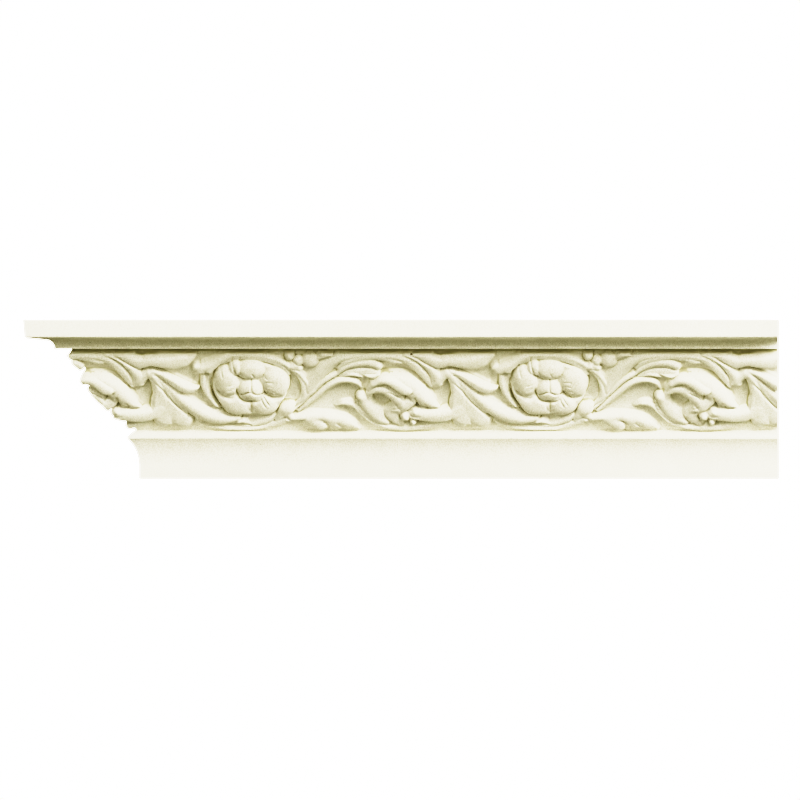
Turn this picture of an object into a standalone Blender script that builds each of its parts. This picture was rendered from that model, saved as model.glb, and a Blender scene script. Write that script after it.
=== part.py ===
"""Ornamental cornice moulding, cast in one piece, with a carved acanthus frieze.

The moulding runs along X, its face looks along -Y and +Z is up. The origin is the middle of
the face that is glued to the wall.

The section is drawn as (out, up) in millimetres: out is the distance from the wall, and up is
the height above the moulding's foot. A leaning band carries the frieze. The frieze is drawn on a squared grid, as a carver sets one out: one
square is 0.67 mm, x counts squares along the moulding from the start of a repeat, and y counts
squares down the front elevation. Each strand of leaf or stem has a path on that grid, its half
width in squares and its height above the band in millimetres.
"""

import math
from dataclasses import dataclass

import bmesh
import bpy
import numpy as np
from mathutils import Vector

MM = 0.001

# Driving sizes of the moulding, in millimetres
HEIGHT = 105.5
PROJECTION = 87.8
BACK_LENGTH = 417.4                     # along the wall, from the mitre's corner to the cut end
HALF_BACK = 0.5 * BACK_LENGTH
MITRE_REACH = PROJECTION + 12.0         # how far the strip runs on before the mitre cuts it

# Section, as (out, up) in millimetres
WALL_BEARING = 44.0                     # height of the face glued to the wall
ORIGIN_UP = 0.5 * WALL_BEARING
CEILING_BACK = 50.0                     # where the face glued to the ceiling starts
FASCIA_FOOT = (86.9, 95.8)
FASCIA_ROUND = 1.9
LIP_BACK = (73.2, 92.7)
COVE_RADIUS = 6.1
LEDGE_FRONT = (67.1, 86.6)
BAND_TOP = (55.6, 84.8)
BAND_FOOT = (12.4, 32.2)
BEAD_CREST = (17.7, 27.9)
BEAD_NOSE = (17.95, 27.1)
BEAD_UNDER = (17.7, 26.3)
SWEEP_CENTRE = (35.6, 8.0)
SWEEP_RADIUS = 25.6
SWEEP_TOP_ANGLE = 134.4
FOOT_OUT = 10.0

# The band leans: its height direction and its down direction, both as (out, up)
BAND_LENGTH = math.dist(BAND_TOP, BAND_FOOT)
LEAN_COS = (BAND_TOP[1] - BAND_FOOT[1]) / BAND_LENGTH
LEAN_SIN = (BAND_TOP[0] - BAND_FOOT[0]) / BAND_LENGTH
LEDGE_RUN = (LEDGE_FRONT[0] - BAND_TOP[0], LEDGE_FRONT[1] - BAND_TOP[1])
LEDGE_DROP = LEDGE_RUN[0] * LEAN_SIN + LEDGE_RUN[1] * LEAN_COS
LEDGE_LIFT = LEDGE_RUN[0] * LEAN_COS - LEDGE_RUN[1] * LEAN_SIN

# The frieze's grid
SQUARE = 0.67
REPEAT = 298.5 * SQUARE
REPEATS = (-2, -1, 0, 1)
PATTERN_START = -91.5                   # where one repeat starts, along X
GRID_TOP = 1.5                          # the grid's y at the top of the band
SHOWN_AT = 0.6                          # share of a strand's height at which its path is drawn

# How finely the frieze is cut, and how close a point may lie to a cut or to another point
STEP = 1.0
SNAP = 0.02
MERGE = 0.004
# Triangles of the strip before its ends are cut off
KEPT_TRIANGLES = 12200
CAST_COLOUR = (0.87, 0.85, 0.76, 1.0)
CAST_ROUGHNESS = 0.6


def smooth_step(x):
    """Eased 0 to 1: 3 x squared minus 2 x cubed, held at the ends."""
    x = np.clip(x, 0.0, 1.0)
    return x * x * (3.0 - 2.0 * x)


def soft_max(a, b, blend):
    """The larger of a and b, with the corner between them filled over the height blend."""
    overlap = np.clip(blend - np.abs(a - b), 0.0, None) / blend
    return np.maximum(a, b) + 0.25 * blend * overlap * overlap


def down_band(y, rise):
    """Millimetres down the band for grid line y, seen from the front at height rise."""
    return ((y - GRID_TOP) * SQUARE - rise * LEAN_SIN) / LEAN_COS


def smooth_curve(points, steps=12):
    """A curve through the points, each span a cubic whose slopes follow its neighbours."""
    p = np.asarray(points, float)
    p = np.vstack([2 * p[0] - p[1], p, 2 * p[-1] - p[-2]])
    t = np.linspace(0.0, 1.0, steps, endpoint=False)[:, None]
    spans = []
    for before, start, end, after in zip(p[:-3], p[1:-2], p[2:-1], p[3:]):
        linear = (end - before) * t
        square = (2 * before - 5 * start + 4 * end - after) * t ** 2
        cube = (3 * start - before - 3 * end + after) * t ** 3
        spans.append(0.5 * (2 * start + linear + square + cube))
    return np.vstack(spans + [p[-2][None]])


def nearest_on(curve, u, v):
    """Signed distance of each (u, v) from the curve, and how far along it, from 0 to 1."""
    start, run = curve[:-1], curve[1:] - curve[:-1]
    across_u, across_v = u[:, None] - start[:, 0], v[:, None] - start[:, 1]
    length = np.maximum((run ** 2).sum(1), 1e-9)
    t = np.clip((across_u * run[:, 0] + across_v * run[:, 1]) / length, 0.0, 1.0)
    gap = (across_u - t * run[:, 0]) ** 2 + (across_v - t * run[:, 1]) ** 2
    best = gap.argmin(1)
    row = np.arange(len(u))
    turn = run[best, 0] * across_v[row, best] - run[best, 1] * across_u[row, best]
    return np.sqrt(gap[row, best]) * np.sign(turn), (best + t[row, best]) / len(start)


def spread(values, along):
    """Values at equal spacing from 0 to 1, read at along."""
    return np.interp(along, np.linspace(0.0, 1.0, len(values)), values)


def near_copies(u, v, low, high):
    """For each repeat, u measured in that repeat and a mask of the points inside low to high."""
    for count in REPEATS:
        local = u - count * REPEAT
        inside = (local > low[0]) & (local < high[0]) & (v > low[1]) & (v < high[1])
        if inside.any():
            yield local[inside], v[inside], inside


@dataclass
class Strand:
    """A stem or a lobe of leaf: a ridge along a path, with an edge height on either side."""

    name: str
    path: tuple
    half: tuple
    rise: tuple
    upper: float = 0.4          # edge height, as a share of the rise, on the upper side
    lower: float = 0.7          # the same on the lower side
    wall: float = 0.7           # how far beyond the edge the side runs out
    crown: float = 0.6          # under 1 the back is broad, at 1 it is a parabola
    blend: float = 0.35

    def lay(self, u, v, height):
        """Adds the strand to the height field."""
        rises = spread(self.rise, np.linspace(0.0, 1.0, len(self.path)))
        points = [(x * SQUARE, down_band(y, SHOWN_AT * r)) for (x, y), r in zip(self.path, rises)]
        curve = smooth_curve(points)
        reach = max(self.half) * SQUARE + self.wall
        for lu, lv, inside in near_copies(u, v, curve.min(0) - reach, curve.max(0) + reach):
            gap, along = nearest_on(curve, lu, lv)
            half = spread(self.half, along) * SQUARE
            side = np.clip(gap / half, -1.0, 1.0)
            edge = self.upper + 0.5 * (self.lower - self.upper) * (side + 1.0)
            back = edge + (1.0 - edge) * (1.0 - side * side) ** self.crown
            fall = smooth_step((half + self.wall - np.abs(gap)) / self.wall)
            ridge = spread(self.rise, along) * back * fall
            height[inside] = soft_max(height[inside], ridge, self.blend)


@dataclass
class Knob:
    """A berry or a bud: a dome, round on the band."""

    name: str
    centre: tuple
    radius: float
    rise: float
    tall: float = 1.0

    def lay(self, u, v, height):
        """Adds the dome to the height field."""
        radius = self.radius * SQUARE
        middle = np.array([self.centre[0] * SQUARE, down_band(self.centre[1], SHOWN_AT * self.rise)])
        reach = radius * np.array([1.0, self.tall])
        for lu, lv, inside in near_copies(u, v, middle - reach, middle + reach):
            ratio = ((lu - middle[0]) / reach[0]) ** 2 + ((lv - middle[1]) / reach[1]) ** 2
            dome = self.rise * np.sqrt(np.clip(1.0 - ratio, 0.0, None))
            height[inside] = soft_max(height[inside], dome, 0.35)


@dataclass
class Hollow:
    """An oval scooped out of what lies there, steep above and sloping out below."""

    name: str
    centre: tuple
    long: float
    wide: float
    turn: float
    floor: float
    lift: float

    def lay(self, u, v, height):
        """Lowers the height field to the floor inside the oval."""
        middle = np.array([self.centre[0] * SQUARE, down_band(self.centre[1], self.lift)])
        cos, sin = math.cos(math.radians(self.turn)), math.sin(math.radians(self.turn))
        reach = 1.5 * max(self.long, self.wide) * SQUARE
        for lu, lv, inside in near_copies(u, v, middle - reach, middle + reach):
            du, dv = lu - middle[0], lv - middle[1]
            lengthwise = (du * cos + dv * sin) / (self.long * SQUARE)
            crosswise = (dv * cos - du * sin) / (self.wide * SQUARE)
            crosswise = np.where(crosswise > 0.0, crosswise / 1.5, crosswise)
            cut = smooth_step((1.2 - np.hypot(lengthwise, crosswise)) / 0.5)
            here = height[inside]
            height[inside] = here + cut * (np.minimum(here, self.floor) - here)


@dataclass
class Crease:
    """A fine groove along a path, fading out at both ends."""

    name: str
    path: tuple
    half: float
    depth: float
    lift: float

    def lay(self, u, v, height):
        """Cuts the groove into the height field."""
        curve = smooth_curve([(x * SQUARE, down_band(y, self.lift)) for x, y in self.path])
        half = self.half * SQUARE
        for lu, lv, inside in near_copies(u, v, curve.min(0) - 2.5 * half, curve.max(0) + 2.5 * half):
            gap, along = nearest_on(curve, lu, lv)
            fade = smooth_step(5.0 * along) * smooth_step(5.0 * (1.0 - along))
            height[inside] -= self.depth * fade * np.exp(-(gap / half) ** 2)


@dataclass
class Petal:
    """One petal: where it points, in degrees, its half spread, its size and rise, its crimping."""

    turn: float
    spread: float
    size: float
    rise: float
    crimp: float


@dataclass
class Flower:
    """Five swelling petals about a boss of three bulbs."""

    name: str
    centre: tuple
    radius: float
    petals: tuple
    throat: float = 0.36                # inner end of the petals, as a share of the radius
    boss: float = 14.2                  # radius of the boss, in squares
    boss_rise: float = 6.8
    cleft: float = 1.5                  # depth of the clefts between the bulbs
    bulbs: tuple = (90, 210, 330)       # where the clefts point, in degrees

    def lay(self, u, v, height):
        """Adds the flower to the height field."""
        radius = self.radius * SQUARE
        rise = SHOWN_AT * max(petal.rise for petal in self.petals)
        middle = np.array([self.centre[0] * SQUARE, down_band(self.centre[1], rise)])
        reach = 1.15 * radius
        for lu, lv, inside in near_copies(u, v, middle - reach, middle + reach):
            right, up = (lu - middle[0]) / radius, (middle[1] - lv) / radius
            out, turn = np.hypot(right, up), np.arctan2(up, right)
            form = np.zeros(len(lu))
            for petal in self.petals:
                form = np.maximum(form, self.petal_height(petal, out, turn, radius))
            form *= smooth_step((out - self.throat + 0.03) / 0.07)
            form = np.maximum(form, self.boss_height(right, up, radius))
            height[inside] = soft_max(height[inside], form, 0.3)

    def petal_height(self, petal, out, turn, radius):
        """Height of one petal: it swells from the throat, curls at the rim and is crimped inside."""
        angle = (turn - math.radians(petal.turn) + math.pi) % (2 * math.pi) - math.pi
        across = angle / math.radians(petal.spread)
        near = np.clip(np.abs(across), 0.0, 1.0)
        rim = petal.size * (1.0 - 0.20 * near ** 3 - 0.03 * np.exp(-(across / 0.22) ** 2))
        along = np.clip((out - self.throat) / np.maximum(rim - self.throat, 0.1), 0.0, 1.0)
        swell = 0.34 + 0.66 * np.sin(0.8 * math.pi * along ** 0.9)
        crown = 0.62 + 0.38 * (1.0 - near ** 2.5) ** 0.6
        curl = 0.16 * smooth_step((along - 0.72) / 0.28)
        crimp = petal.crimp * np.cos(19 * angle) * np.exp(-((out - 0.50) / 0.11) ** 2) * (1.0 - near ** 4)
        side = smooth_step((rim - out) * radius / 1.1 + 1.0) * (np.abs(across) < 1.0)
        return (petal.rise * (swell * crown - curl) + crimp) * side

    def boss_height(self, right, up, radius):
        """Height of the boss: a dome parted by three clefts."""
        boss = self.boss * SQUARE
        ratio = np.hypot(right, up) * radius / boss
        dome = self.boss_rise * np.clip(1.0 - ratio ** 2, 0.0, None) ** 0.42
        for turn in self.bulbs:
            cos, sin = math.cos(math.radians(turn)), math.sin(math.radians(turn))
            along = (right * cos + up * sin) * radius
            across = (right * sin - up * cos) * radius
            dome -= self.cleft * np.exp(-(across / 0.75) ** 2) * smooth_step(along / 1.5 + 0.3)
        return np.where(ratio < 1.0, np.maximum(dome, 1.0), 0.0)


PETALS = (
    Petal(turn=162, spread=42, size=1.00, rise=7.4, crimp=0.35),
    Petal(turn=18, spread=42, size=0.98, rise=7.4, crimp=0.6),
    Petal(turn=234, spread=41, size=0.99, rise=6.8, crimp=0.2),
    Petal(turn=306, spread=41, size=0.99, rise=6.8, crimp=0.45),
    Petal(turn=90, spread=40, size=0.97, rise=8.2, crimp=0.25),
)

# One repeat of the frieze, from its lowest forms to its highest. A path runs left to right or
# downwards, so that its lower side faces down or left.
FRIEZE = (
    # Stems along the foot of the band
    Strand("foot strand",
           path=((166, 71), (176, 75), (190, 77.5), (205, 78.2), (220, 78), (232, 77), (244, 75), (254, 71)),
           half=(1.5, 2, 2.2, 2.5), rise=(2, 3, 3, 3.5)),
    Strand("foot rib a",
           path=((214, 77.5), (226, 73.5), (236, 70), (245, 65)),
           half=(1, 2.2, 2.4), rise=(2.6, 3.6, 3.8)),
    Strand("foot rib b",
           path=((226, 78), (238, 74.5), (248, 71.5), (259, 67)),
           half=(1, 2, 2.5), rise=(2.8, 3.8, 4.2)),
    Strand("foot sprig",
           path=((200, 73.5), (206, 71), (213, 70.8), (219, 73)),
           half=(0.6, 3, 3, 1), rise=(2, 4.4, 4.4, 2.5)),
    Strand("low stem",
           path=((7, 53.5), (13, 51), (20, 51.2), (27, 56), (33, 62.5), (40, 69), (49, 74), (60, 77),
                 (72, 77.5), (86, 77), (100, 75), (112, 71), (120, 66)),
           half=(0.3, 3, 3.6, 3.2, 2.9, 2.7, 2.5, 2.3, 2.3, 3, 3.6, 3.5, 3),
           rise=(1.6, 4, 4.6, 4.2, 3.6, 3.5, 3.2, 3, 3, 3, 3.2, 3.5, 4), upper=0.3, lower=0.75),
    Strand("low stem rib",
           path=((27, 51), (31, 58), (38, 65), (46, 70.5), (56, 75), (66, 76.5)),
           half=(1, 2, 2.2, 2, 1.5), rise=(3.6, 3.6, 3.4, 2)),
    # The arch over the scroll
    Strand("arch broad",
           path=((-34, 58), (-25, 46), (-17, 33), (-7, 20), (4, 11.5), (18, 7), (34, 5), (52, 4)),
           half=(3, 6.5, 8, 8.5, 7, 4.5, 3.5, 3),
           rise=(3, 3.2, 3.6, 4, 4.2, 4.2), upper=0.3, lower=0.3, crown=0.9),
    Strand("ledge sliver",
           path=((-14, 9), (-5, 4.5), (6, 1.2), (18, 0)),
           half=(2, 3.5, 2.5, 1), rise=(2.5, 4.8, 4.6), upper=0.5, lower=0.85),
    Strand("arch rib",
           path=((-35, 58), (-27, 51), (-17, 41), (-8, 32), (2, 25.5), (12, 21)),
           half=(1.5, 2, 2.5, 3, 3, 2), rise=(3, 3.6, 4, 4.2, 3), upper=0.3, lower=0.6),
    Strand("arch inner",
           path=((8, 18), (16, 11.5), (28, 8), (42, 6.3), (56, 5.8), (68, 6.8), (77, 9.5), (85, 14.5),
                 (92, 21), (98, 27.5), (102.5, 34)),
           half=(1, 3, 3.5, 3.2, 3, 3.2, 4, 4.6, 5, 5, 2),
           rise=(3, 4.2, 4.4, 4.5, 4.6, 4.8, 5, 5.2, 5.4, 5.4, 5), upper=0.55, lower=0.85),
    Strand("arch lobe",
           path=((49, 8), (57, 8), (64, 10.5), (71, 11.5)),
           half=(2, 3.2, 3.5, 2), rise=(4.3, 4.5, 4.4), upper=0.6, lower=0.85),
    Strand("arch outer",
           path=((40, 1.5), (54, 1), (67, 1.6), (78, 4), (88, 8.5), (97, 15), (104, 22.5), (107.5, 29),
                 (107, 33)),
           half=(1.5, 2.2, 2.5, 2.8, 3.2, 4, 5, 5.4, 4),
           rise=(4.5, 4.6, 4.8, 5.2, 5.6, 6, 6, 5.6), upper=0.5, lower=0.8),
    Strand("notch bridge",
           path=((108, 28), (113, 24), (119, 22.5), (124, 26), (126, 33), (126, 40)),
           half=(5, 4, 3.5, 3, 2.5, 1.5), rise=(5.6, 5.4, 5.2, 5, 4.6), upper=0.6, lower=0.8),
    # Curl leaf under the arch
    Strand("curl bed",
           path=((9, 24), (20, 20.5), (32, 20), (44, 22)),
           half=(1, 3.5, 3.5, 2), rise=(2.4, 3.4, 3.4), upper=0.7, lower=0.8),
    Strand("curl rim",
           path=((4, 26), (13, 17), (23, 12.5), (34, 11), (43, 13), (50, 18), (52, 24)),
           half=(1, 2.8, 4, 4.4, 4.4, 4, 3), rise=(3, 4.4, 5.6, 6.4, 6.6, 6.4, 6), upper=0.2, lower=0.55),
    Strand("curl tip a",
           path=((12, 25), (20, 22.6), (27, 23.4), (33.5, 25.8)),
           half=(1, 2.4, 2.4, 1), rise=(2.6, 4.2, 4.2, 3.2), upper=0.3, lower=0.85),
    Strand("curl tip b",
           path=((33, 21.5), (39, 24.5), (45, 25.2), (50, 22)),
           half=(1, 2.8, 2.8, 1), rise=(3.4, 4.8, 4.8, 4.4), upper=0.3, lower=0.85),
    Strand("tendril",
           path=((-31, 60), (-22, 52), (-12, 43), (-2, 34.5), (8, 29.5), (18, 28.5), (26, 31), (30.5, 36),
                 (32, 40)),
           half=(1.5, 2.5, 3, 3.5, 3.8, 3.8, 3.4, 2.2, 0.5),
           rise=(3.4, 4.2, 4.5, 4.8, 5, 5, 4.6, 4, 2.5), upper=0.25, lower=0.8),
    # The scroll itself
    Strand("jaw leaf",
           path=((31, 47), (36, 55), (42, 62), (49, 68), (57, 72), (67, 74.5)),
           half=(4.5, 5, 6, 6.5, 5.5, 3), rise=(5.6, 4.8, 4.8, 5, 4.6, 3.2), upper=0.6, lower=0.5),
    Knob("jaw knob", centre=(31.5, 47), radius=6.2, rise=6.4, tall=1.15),
    Strand("chin",
           path=((58, 62), (66, 66), (70, 71), (72, 75)),
           half=(4, 5, 5, 3), rise=(4.2, 4.2, 3.2), upper=0.5, lower=0.5),
    Strand("head",
           path=((39, 46), (41, 36), (48, 28.5), (58, 24.5), (70, 25), (81, 29.5), (90, 37.5), (97, 45.5),
                 (103, 51.5), (108, 55)),
           half=(3, 5, 6.5, 7, 7.5, 8.5, 9, 8, 5.5, 1.6),
           rise=(4.5, 5.5, 7, 8, 8.5, 9, 8.8, 8, 6.5, 4), upper=0.35, lower=0.6),
    Strand("cheek",
           path=((62, 52), (70, 53), (77, 52)),
           half=(5, 7, 5), rise=(5.4, 5.8, 5.6), upper=0.6, lower=0.7),
    Strand("nose",
           path=((78, 42), (86, 46), (94, 50), (101, 53.5), (107, 55.5)),
           half=(6, 6.5, 5.6, 4, 1), rise=(7.2, 7, 6.6, 6, 4), upper=0.8, lower=0.92),
    Strand("nose lobe a",
           path=((80, 41), (84, 46), (87.5, 51.5)),
           half=(4, 4.2, 3.4), rise=(7, 6.8, 6.4), upper=0.85, lower=0.9),
    Strand("nose lobe b",
           path=((88, 44), (92, 49), (95, 53.5)),
           half=(4, 4.2, 3.6), rise=(7, 6.8, 6.4), upper=0.85, lower=0.9),
    Strand("nose lobe c",
           path=((96, 48), (100, 51.5), (104, 55)),
           half=(4, 4, 3), rise=(6.6, 6.4, 5.6), upper=0.85, lower=0.9),
    Strand("eye rim",
           path=((38, 42), (38.5, 49), (43, 57), (51, 62), (61, 63.5), (70, 61), (76, 57)),
           half=(2, 2.6, 3.2, 3.2, 3, 3, 2), rise=(5, 4.8, 4.8, 5, 5, 5.2, 5.4), upper=0.7, lower=0.6),
    Hollow("eye", centre=(52.0, 49.0), long=13, wide=5.8, turn=38, floor=0.3, lift=5.0),
    Strand("finger low",
           path=((39, 41.5), (47, 37.5), (56, 38), (64, 42.5), (69.5, 48.5), (71, 54)),
           half=(2, 4, 4.6, 4.6, 4, 1.2), rise=(5.8, 7, 7.6, 7.6, 7, 5.6), upper=0.7, lower=0.85),
    Strand("finger high",
           path=((43, 33.5), (52, 29), (61, 29.5), (68.5, 33.5), (74, 37), (76.5, 38)),
           half=(1.5, 3.6, 4.6, 5.6, 6, 5), rise=(7.6, 9, 9.8, 9.8, 9.4, 9), upper=0.8, lower=0.85),
    Strand("tongue",
           path=((83, 63), (91, 63), (102, 64), (113, 62), (122, 56), (127, 48)),
           half=(5, 7, 7.6, 7.2, 6, 4.5), rise=(6.2, 6.6, 6.4, 6, 5.4, 4.6), upper=0.5, lower=0.8),
    Knob("tongue knob", centre=(85.5, 60.5), radius=6.2, rise=7.2),
    Hollow("berry gap", centre=(82, 67.5), long=2.6, wide=2.2, turn=0, floor=1.0, lift=3.5),
    Knob("berry large", centre=(75.5, 66), radius=5.8, rise=7),
    Knob("berry small", centre=(83.5, 71.5), radius=3.8, rise=5.2),
    # Trunk of the spray and its leaves
    Strand("trunk tip",
           path=((123, 30), (126.5, 38), (125, 47), (124, 53), (125.5, 57)),
           half=(1.5, 2.4, 3, 3.5, 1.5), rise=(4.8, 4.6, 4.6, 4), upper=0.5, lower=0.8),
    Strand("trunk",
           path=((117, 22), (126, 31), (132.5, 43), (135, 55), (133.5, 66), (130.5, 74)),
           half=(3, 5.5, 8.5, 11, 10, 6), rise=(5.2, 5, 5, 5, 5.2, 4.8), upper=0.8, lower=0.75, crown=1.0),
    Strand("trunk right",
           path=((130, 38), (140, 50), (148, 60), (153.5, 68), (157, 73.5)),
           half=(3, 6.5, 8, 8.2, 6.5), rise=(4.8, 4.8, 5, 5.6, 5.2), upper=0.8, lower=0.75, crown=1.0),
    Strand("crescent",
           path=((118, 21), (127, 28), (137, 37), (146.5, 46), (156, 54), (167, 61), (178, 66), (190, 68.5),
                 (200, 68.5), (208, 67)),
           half=(2.5, 3.6, 4.8, 6, 7, 8, 8, 7, 5, 1),
           rise=(5.2, 5.4, 5.6, 5.8, 6, 6.3, 6.3, 6, 5.2, 4.2), upper=0.35, lower=0.6, wall=1.6),
    Strand("pod",
           path=((121, 20), (131, 24), (142, 30.5), (151, 36), (158, 38.8), (163.5, 37.6)),
           half=(2.5, 3.5, 4.6, 5.4, 5, 2.6), rise=(5.4, 5.8, 6.4, 6.8, 6.6, 5.4), upper=0.3, lower=0.9),
    Strand("top leaf",
           path=((72, 1.5), (86, 3.5), (98, 8.5), (109, 13), (120, 13.5), (132, 12.5), (144, 12), (154, 9),
                 (160, 3.5)),
           half=(1, 2.6, 4.4, 5.6, 5.8, 6.4, 7, 6.4, 4),
           rise=(5, 5.2, 5.6, 6, 6.2, 6.4, 6.4, 6, 4.4), upper=0.55, lower=0.9),
    # Ring about the flower
    Strand("ring left",
           path=((172, 25), (172.5, 34), (175, 41.5), (179.5, 48.5), (185, 54.5), (191, 58)),
           half=(2.4, 3.2, 3.2, 3, 2.6, 1), rise=(3, 4, 4, 4, 3.6), upper=0.5, lower=0.75),
    Strand("ring",
           path=((166, 16.6), (171, 16.4), (178, 14), (187, 9), (197, 4.5), (208, 2), (222, 2.6),
                 (236, 5.8), (249, 11), (260, 17.5), (267.5, 24), (272, 32), (273.5, 41), (271, 49),
                 (264, 55)),
           half=(4.4, 6, 6, 4.4, 3.2, 2.6, 2.4, 2.4, 2.6, 3, 3.2, 3.4, 3.4, 3, 2),
           rise=(4.8, 5.4, 5.6, 5.2, 4.9, 4.7, 4.7, 4.8, 5, 5, 4.8, 4.5, 4.3, 4), upper=0.35, lower=0.8),
    Strand("low leaf",
           path=((256, 68), (268, 66), (282, 65.5), (297, 66), (311, 68.5), (321, 73), (328, 77.2)),
           half=(2.5, 4.6, 5.4, 6, 6, 4.2, 1), rise=(4.6, 5, 5.5, 5.6, 5.3, 4.6, 3), upper=0.5, lower=0.8),
    Strand("low lobe a",
           path=((272, 66), (283, 69), (291, 73.5)),
           half=(4, 6, 5.6), rise=(5, 5.6, 5.4), upper=0.6, lower=0.85),
    Strand("low lobe b",
           path=((294, 66), (302, 71), (307.5, 74)),
           half=(4, 5.6, 4.2), rise=(5.4, 5.6, 5), upper=0.6, lower=0.85),
    Strand("low lobe c",
           path=((308, 69), (315, 73.5), (320.5, 76)),
           half=(4, 4.6, 3), rise=(5.2, 5, 4), upper=0.6, lower=0.85),
    Flower("flower", centre=(219.3, 38.6), radius=38, petals=PETALS),
    Strand("bud sheath",
           path=((249, 51), (245.5, 56), (243.5, 61.5), (243, 66)),
           half=(0.8, 1.4, 1.4, 0.8), rise=(5, 5.2, 5, 4), upper=0.6, lower=0.8),
    Knob("bud", centre=(254, 58.5), radius=8, rise=7.4, tall=1.0),
    Strand("bud foot",
           path=((256, 64), (262, 67), (270, 67)),
           half=(4, 3, 2), rise=(4.8, 4.6, 4.6)),
    Strand("ring node",
           path=((257, 17), (262, 16), (269, 18)),
           half=(2.5, 3.8, 2.5), rise=(4.6, 5.4, 4.6)),
    Knob("top berry a", centre=(257.5, 4.8), radius=5.8, rise=5.8),
    Knob("top berry b", centre=(266.8, 11.6), radius=5.8, rise=6),
    Knob("top berry c", centre=(278.5, 11.5), radius=9, rise=6, tall=0.9),
    Crease("crease jaw", path=((53.5, 59.5), (54.5, 65), (58.5, 71.5)), half=0.9, depth=0.9, lift=4),
    Crease("crease jaw b", path=((36, 54), (40, 61), (46, 67.5), (53, 73)), half=0.8, depth=0.6, lift=3.6),
    Crease("crease trunk", path=((123, 23), (130, 32), (135, 43), (137, 54)), half=0.9, depth=0.5, lift=4),
    Crease("crease crescent", path=((165, 57.5), (174, 59.5), (184, 59.5), (188, 58.5)),
           half=0.8, depth=0.5, lift=4.5),
    Crease("crease tongue", path=((91, 69), (95, 70.5), (98, 69)), half=0.8, depth=0.7, lift=3.8),
)


def frieze_height(u, v):
    """Height above the band, in millimetres, at u along from a repeat's start and v down."""
    flat_u, flat_v = u.ravel(), v.ravel()
    height = np.zeros(flat_u.size)
    for form in FRIEZE:
        form.lay(flat_u, flat_v, height)
    height = np.maximum(height, 0.0).reshape(u.shape)
    ledge = np.clip(-v, 0.0, None) * LEDGE_LIFT / LEDGE_DROP
    return np.where(v < 0.0, soft_max(height, ledge, 0.3), height)


def arc(centre, radius, start, end, count):
    """Points (out, up) on an arc, its angles in degrees from straight out, turning upwards."""
    angles = np.radians(np.linspace(start, end, count))
    return [(centre[0] + radius * math.cos(a), centre[1] + radius * math.sin(a)) for a in angles]


def section_above():
    """The section from the ceiling face's back edge round the fascia to the ledge's front."""
    fascia_centre = (FASCIA_FOOT[0] - FASCIA_ROUND, FASCIA_FOOT[1])
    cove_centre = (LIP_BACK[0], LIP_BACK[1] - COVE_RADIUS)
    points = [(CEILING_BACK, HEIGHT), (PROJECTION, HEIGHT)]
    points += arc(fascia_centre, FASCIA_ROUND, 0, -85, 5)
    points += arc(cove_centre, COVE_RADIUS, 90, 180, 9)
    return points


def section_below():
    """The section from the bead's crest down the sweep and round the foot to the wall face's top."""
    points = [BEAD_CREST, BEAD_NOSE]
    points += arc(SWEEP_CENTRE, SWEEP_RADIUS, SWEEP_TOP_ANGLE, 180, 10)
    points += [(FOOT_OUT, 0.0), (0.0, 0.0), (0.0, WALL_BEARING)]
    return points


def strip_grid():
    """The moulding as a grid of points: columns along X, rows round the section."""
    left = -HALF_BACK - MITRE_REACH
    columns = math.ceil((HALF_BACK + STEP - left) / STEP) + 1
    along = left + STEP * np.arange(columns)
    ledge_rows = np.linspace(-LEDGE_DROP, 0.0, math.ceil(LEDGE_DROP / STEP) + 1)[:-1]
    band_rows = np.linspace(0.0, BAND_LENGTH, math.ceil(BAND_LENGTH / STEP) + 1)
    down, _ = np.meshgrid(np.concatenate([ledge_rows, band_rows]), along, indexing="ij")
    height = frieze_height(np.broadcast_to(along - PATTERN_START, down.shape), down)
    out = BAND_TOP[0] - down * LEAN_SIN + height * LEAN_COS
    up = BAND_TOP[1] - down * LEAN_COS - height * LEAN_SIN
    above, below = np.array(section_above()), np.array(section_below())
    out = np.vstack([np.repeat(above[:, :1], columns, 1), out, np.repeat(below[:, :1], columns, 1)])
    up = np.vstack([np.repeat(above[:, 1:], columns, 1), up, np.repeat(below[:, 1:], columns, 1)])
    return np.stack([np.broadcast_to(along, out.shape), -out, up - ORIGIN_UP], axis=-1)


def strip_mesh(grid):
    """A closed mesh from the grid: its rows close on themselves, and each end is one face."""
    rows, columns = grid.shape[:2]
    index = np.arange(rows * columns).reshape(rows, columns)
    below = np.roll(index, -1, axis=0)
    faces = np.stack([index[:, :-1], below[:, :-1], below[:, 1:], index[:, 1:]], axis=-1)
    ends = [index[::-1, 0].tolist(), index[:, -1].tolist()]
    mesh = bpy.data.meshes.new("moulding strip")
    mesh.from_pydata((grid.reshape(-1, 3) * MM).tolist(), [], faces.reshape(-1, 4).tolist() + ends)
    return mesh


def thinned(mesh):
    """A copy of the mesh with its flat stretches thinned to the kept number of triangles."""
    whole = bpy.data.objects.new("whole strip", mesh)
    bpy.context.scene.collection.objects.link(whole)
    modifier = whole.modifiers.new("Thin", "DECIMATE")
    modifier.ratio = KEPT_TRIANGLES / sum(len(face.vertices) - 2 for face in mesh.polygons)
    bpy.context.view_layer.update()
    graph = bpy.context.evaluated_depsgraph_get()
    result = bpy.data.meshes.new_from_object(whole.evaluated_get(graph))
    bpy.data.objects.remove(whole)
    return result


def cut_end(shape, point, normal):
    """Cuts the shape off flat beyond the plane and closes the cut."""
    geometry = shape.verts[:] + shape.edges[:] + shape.faces[:]
    cut = bmesh.ops.bisect_plane(shape, geom=geometry, dist=SNAP * MM, plane_co=point,
                                 plane_no=normal, clear_outer=True)
    rim = [item for item in cut["geom_cut"] if isinstance(item, bmesh.types.BMEdge)]
    bmesh.ops.holes_fill(shape, edges=rim, sides=len(rim) + 1)


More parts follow.
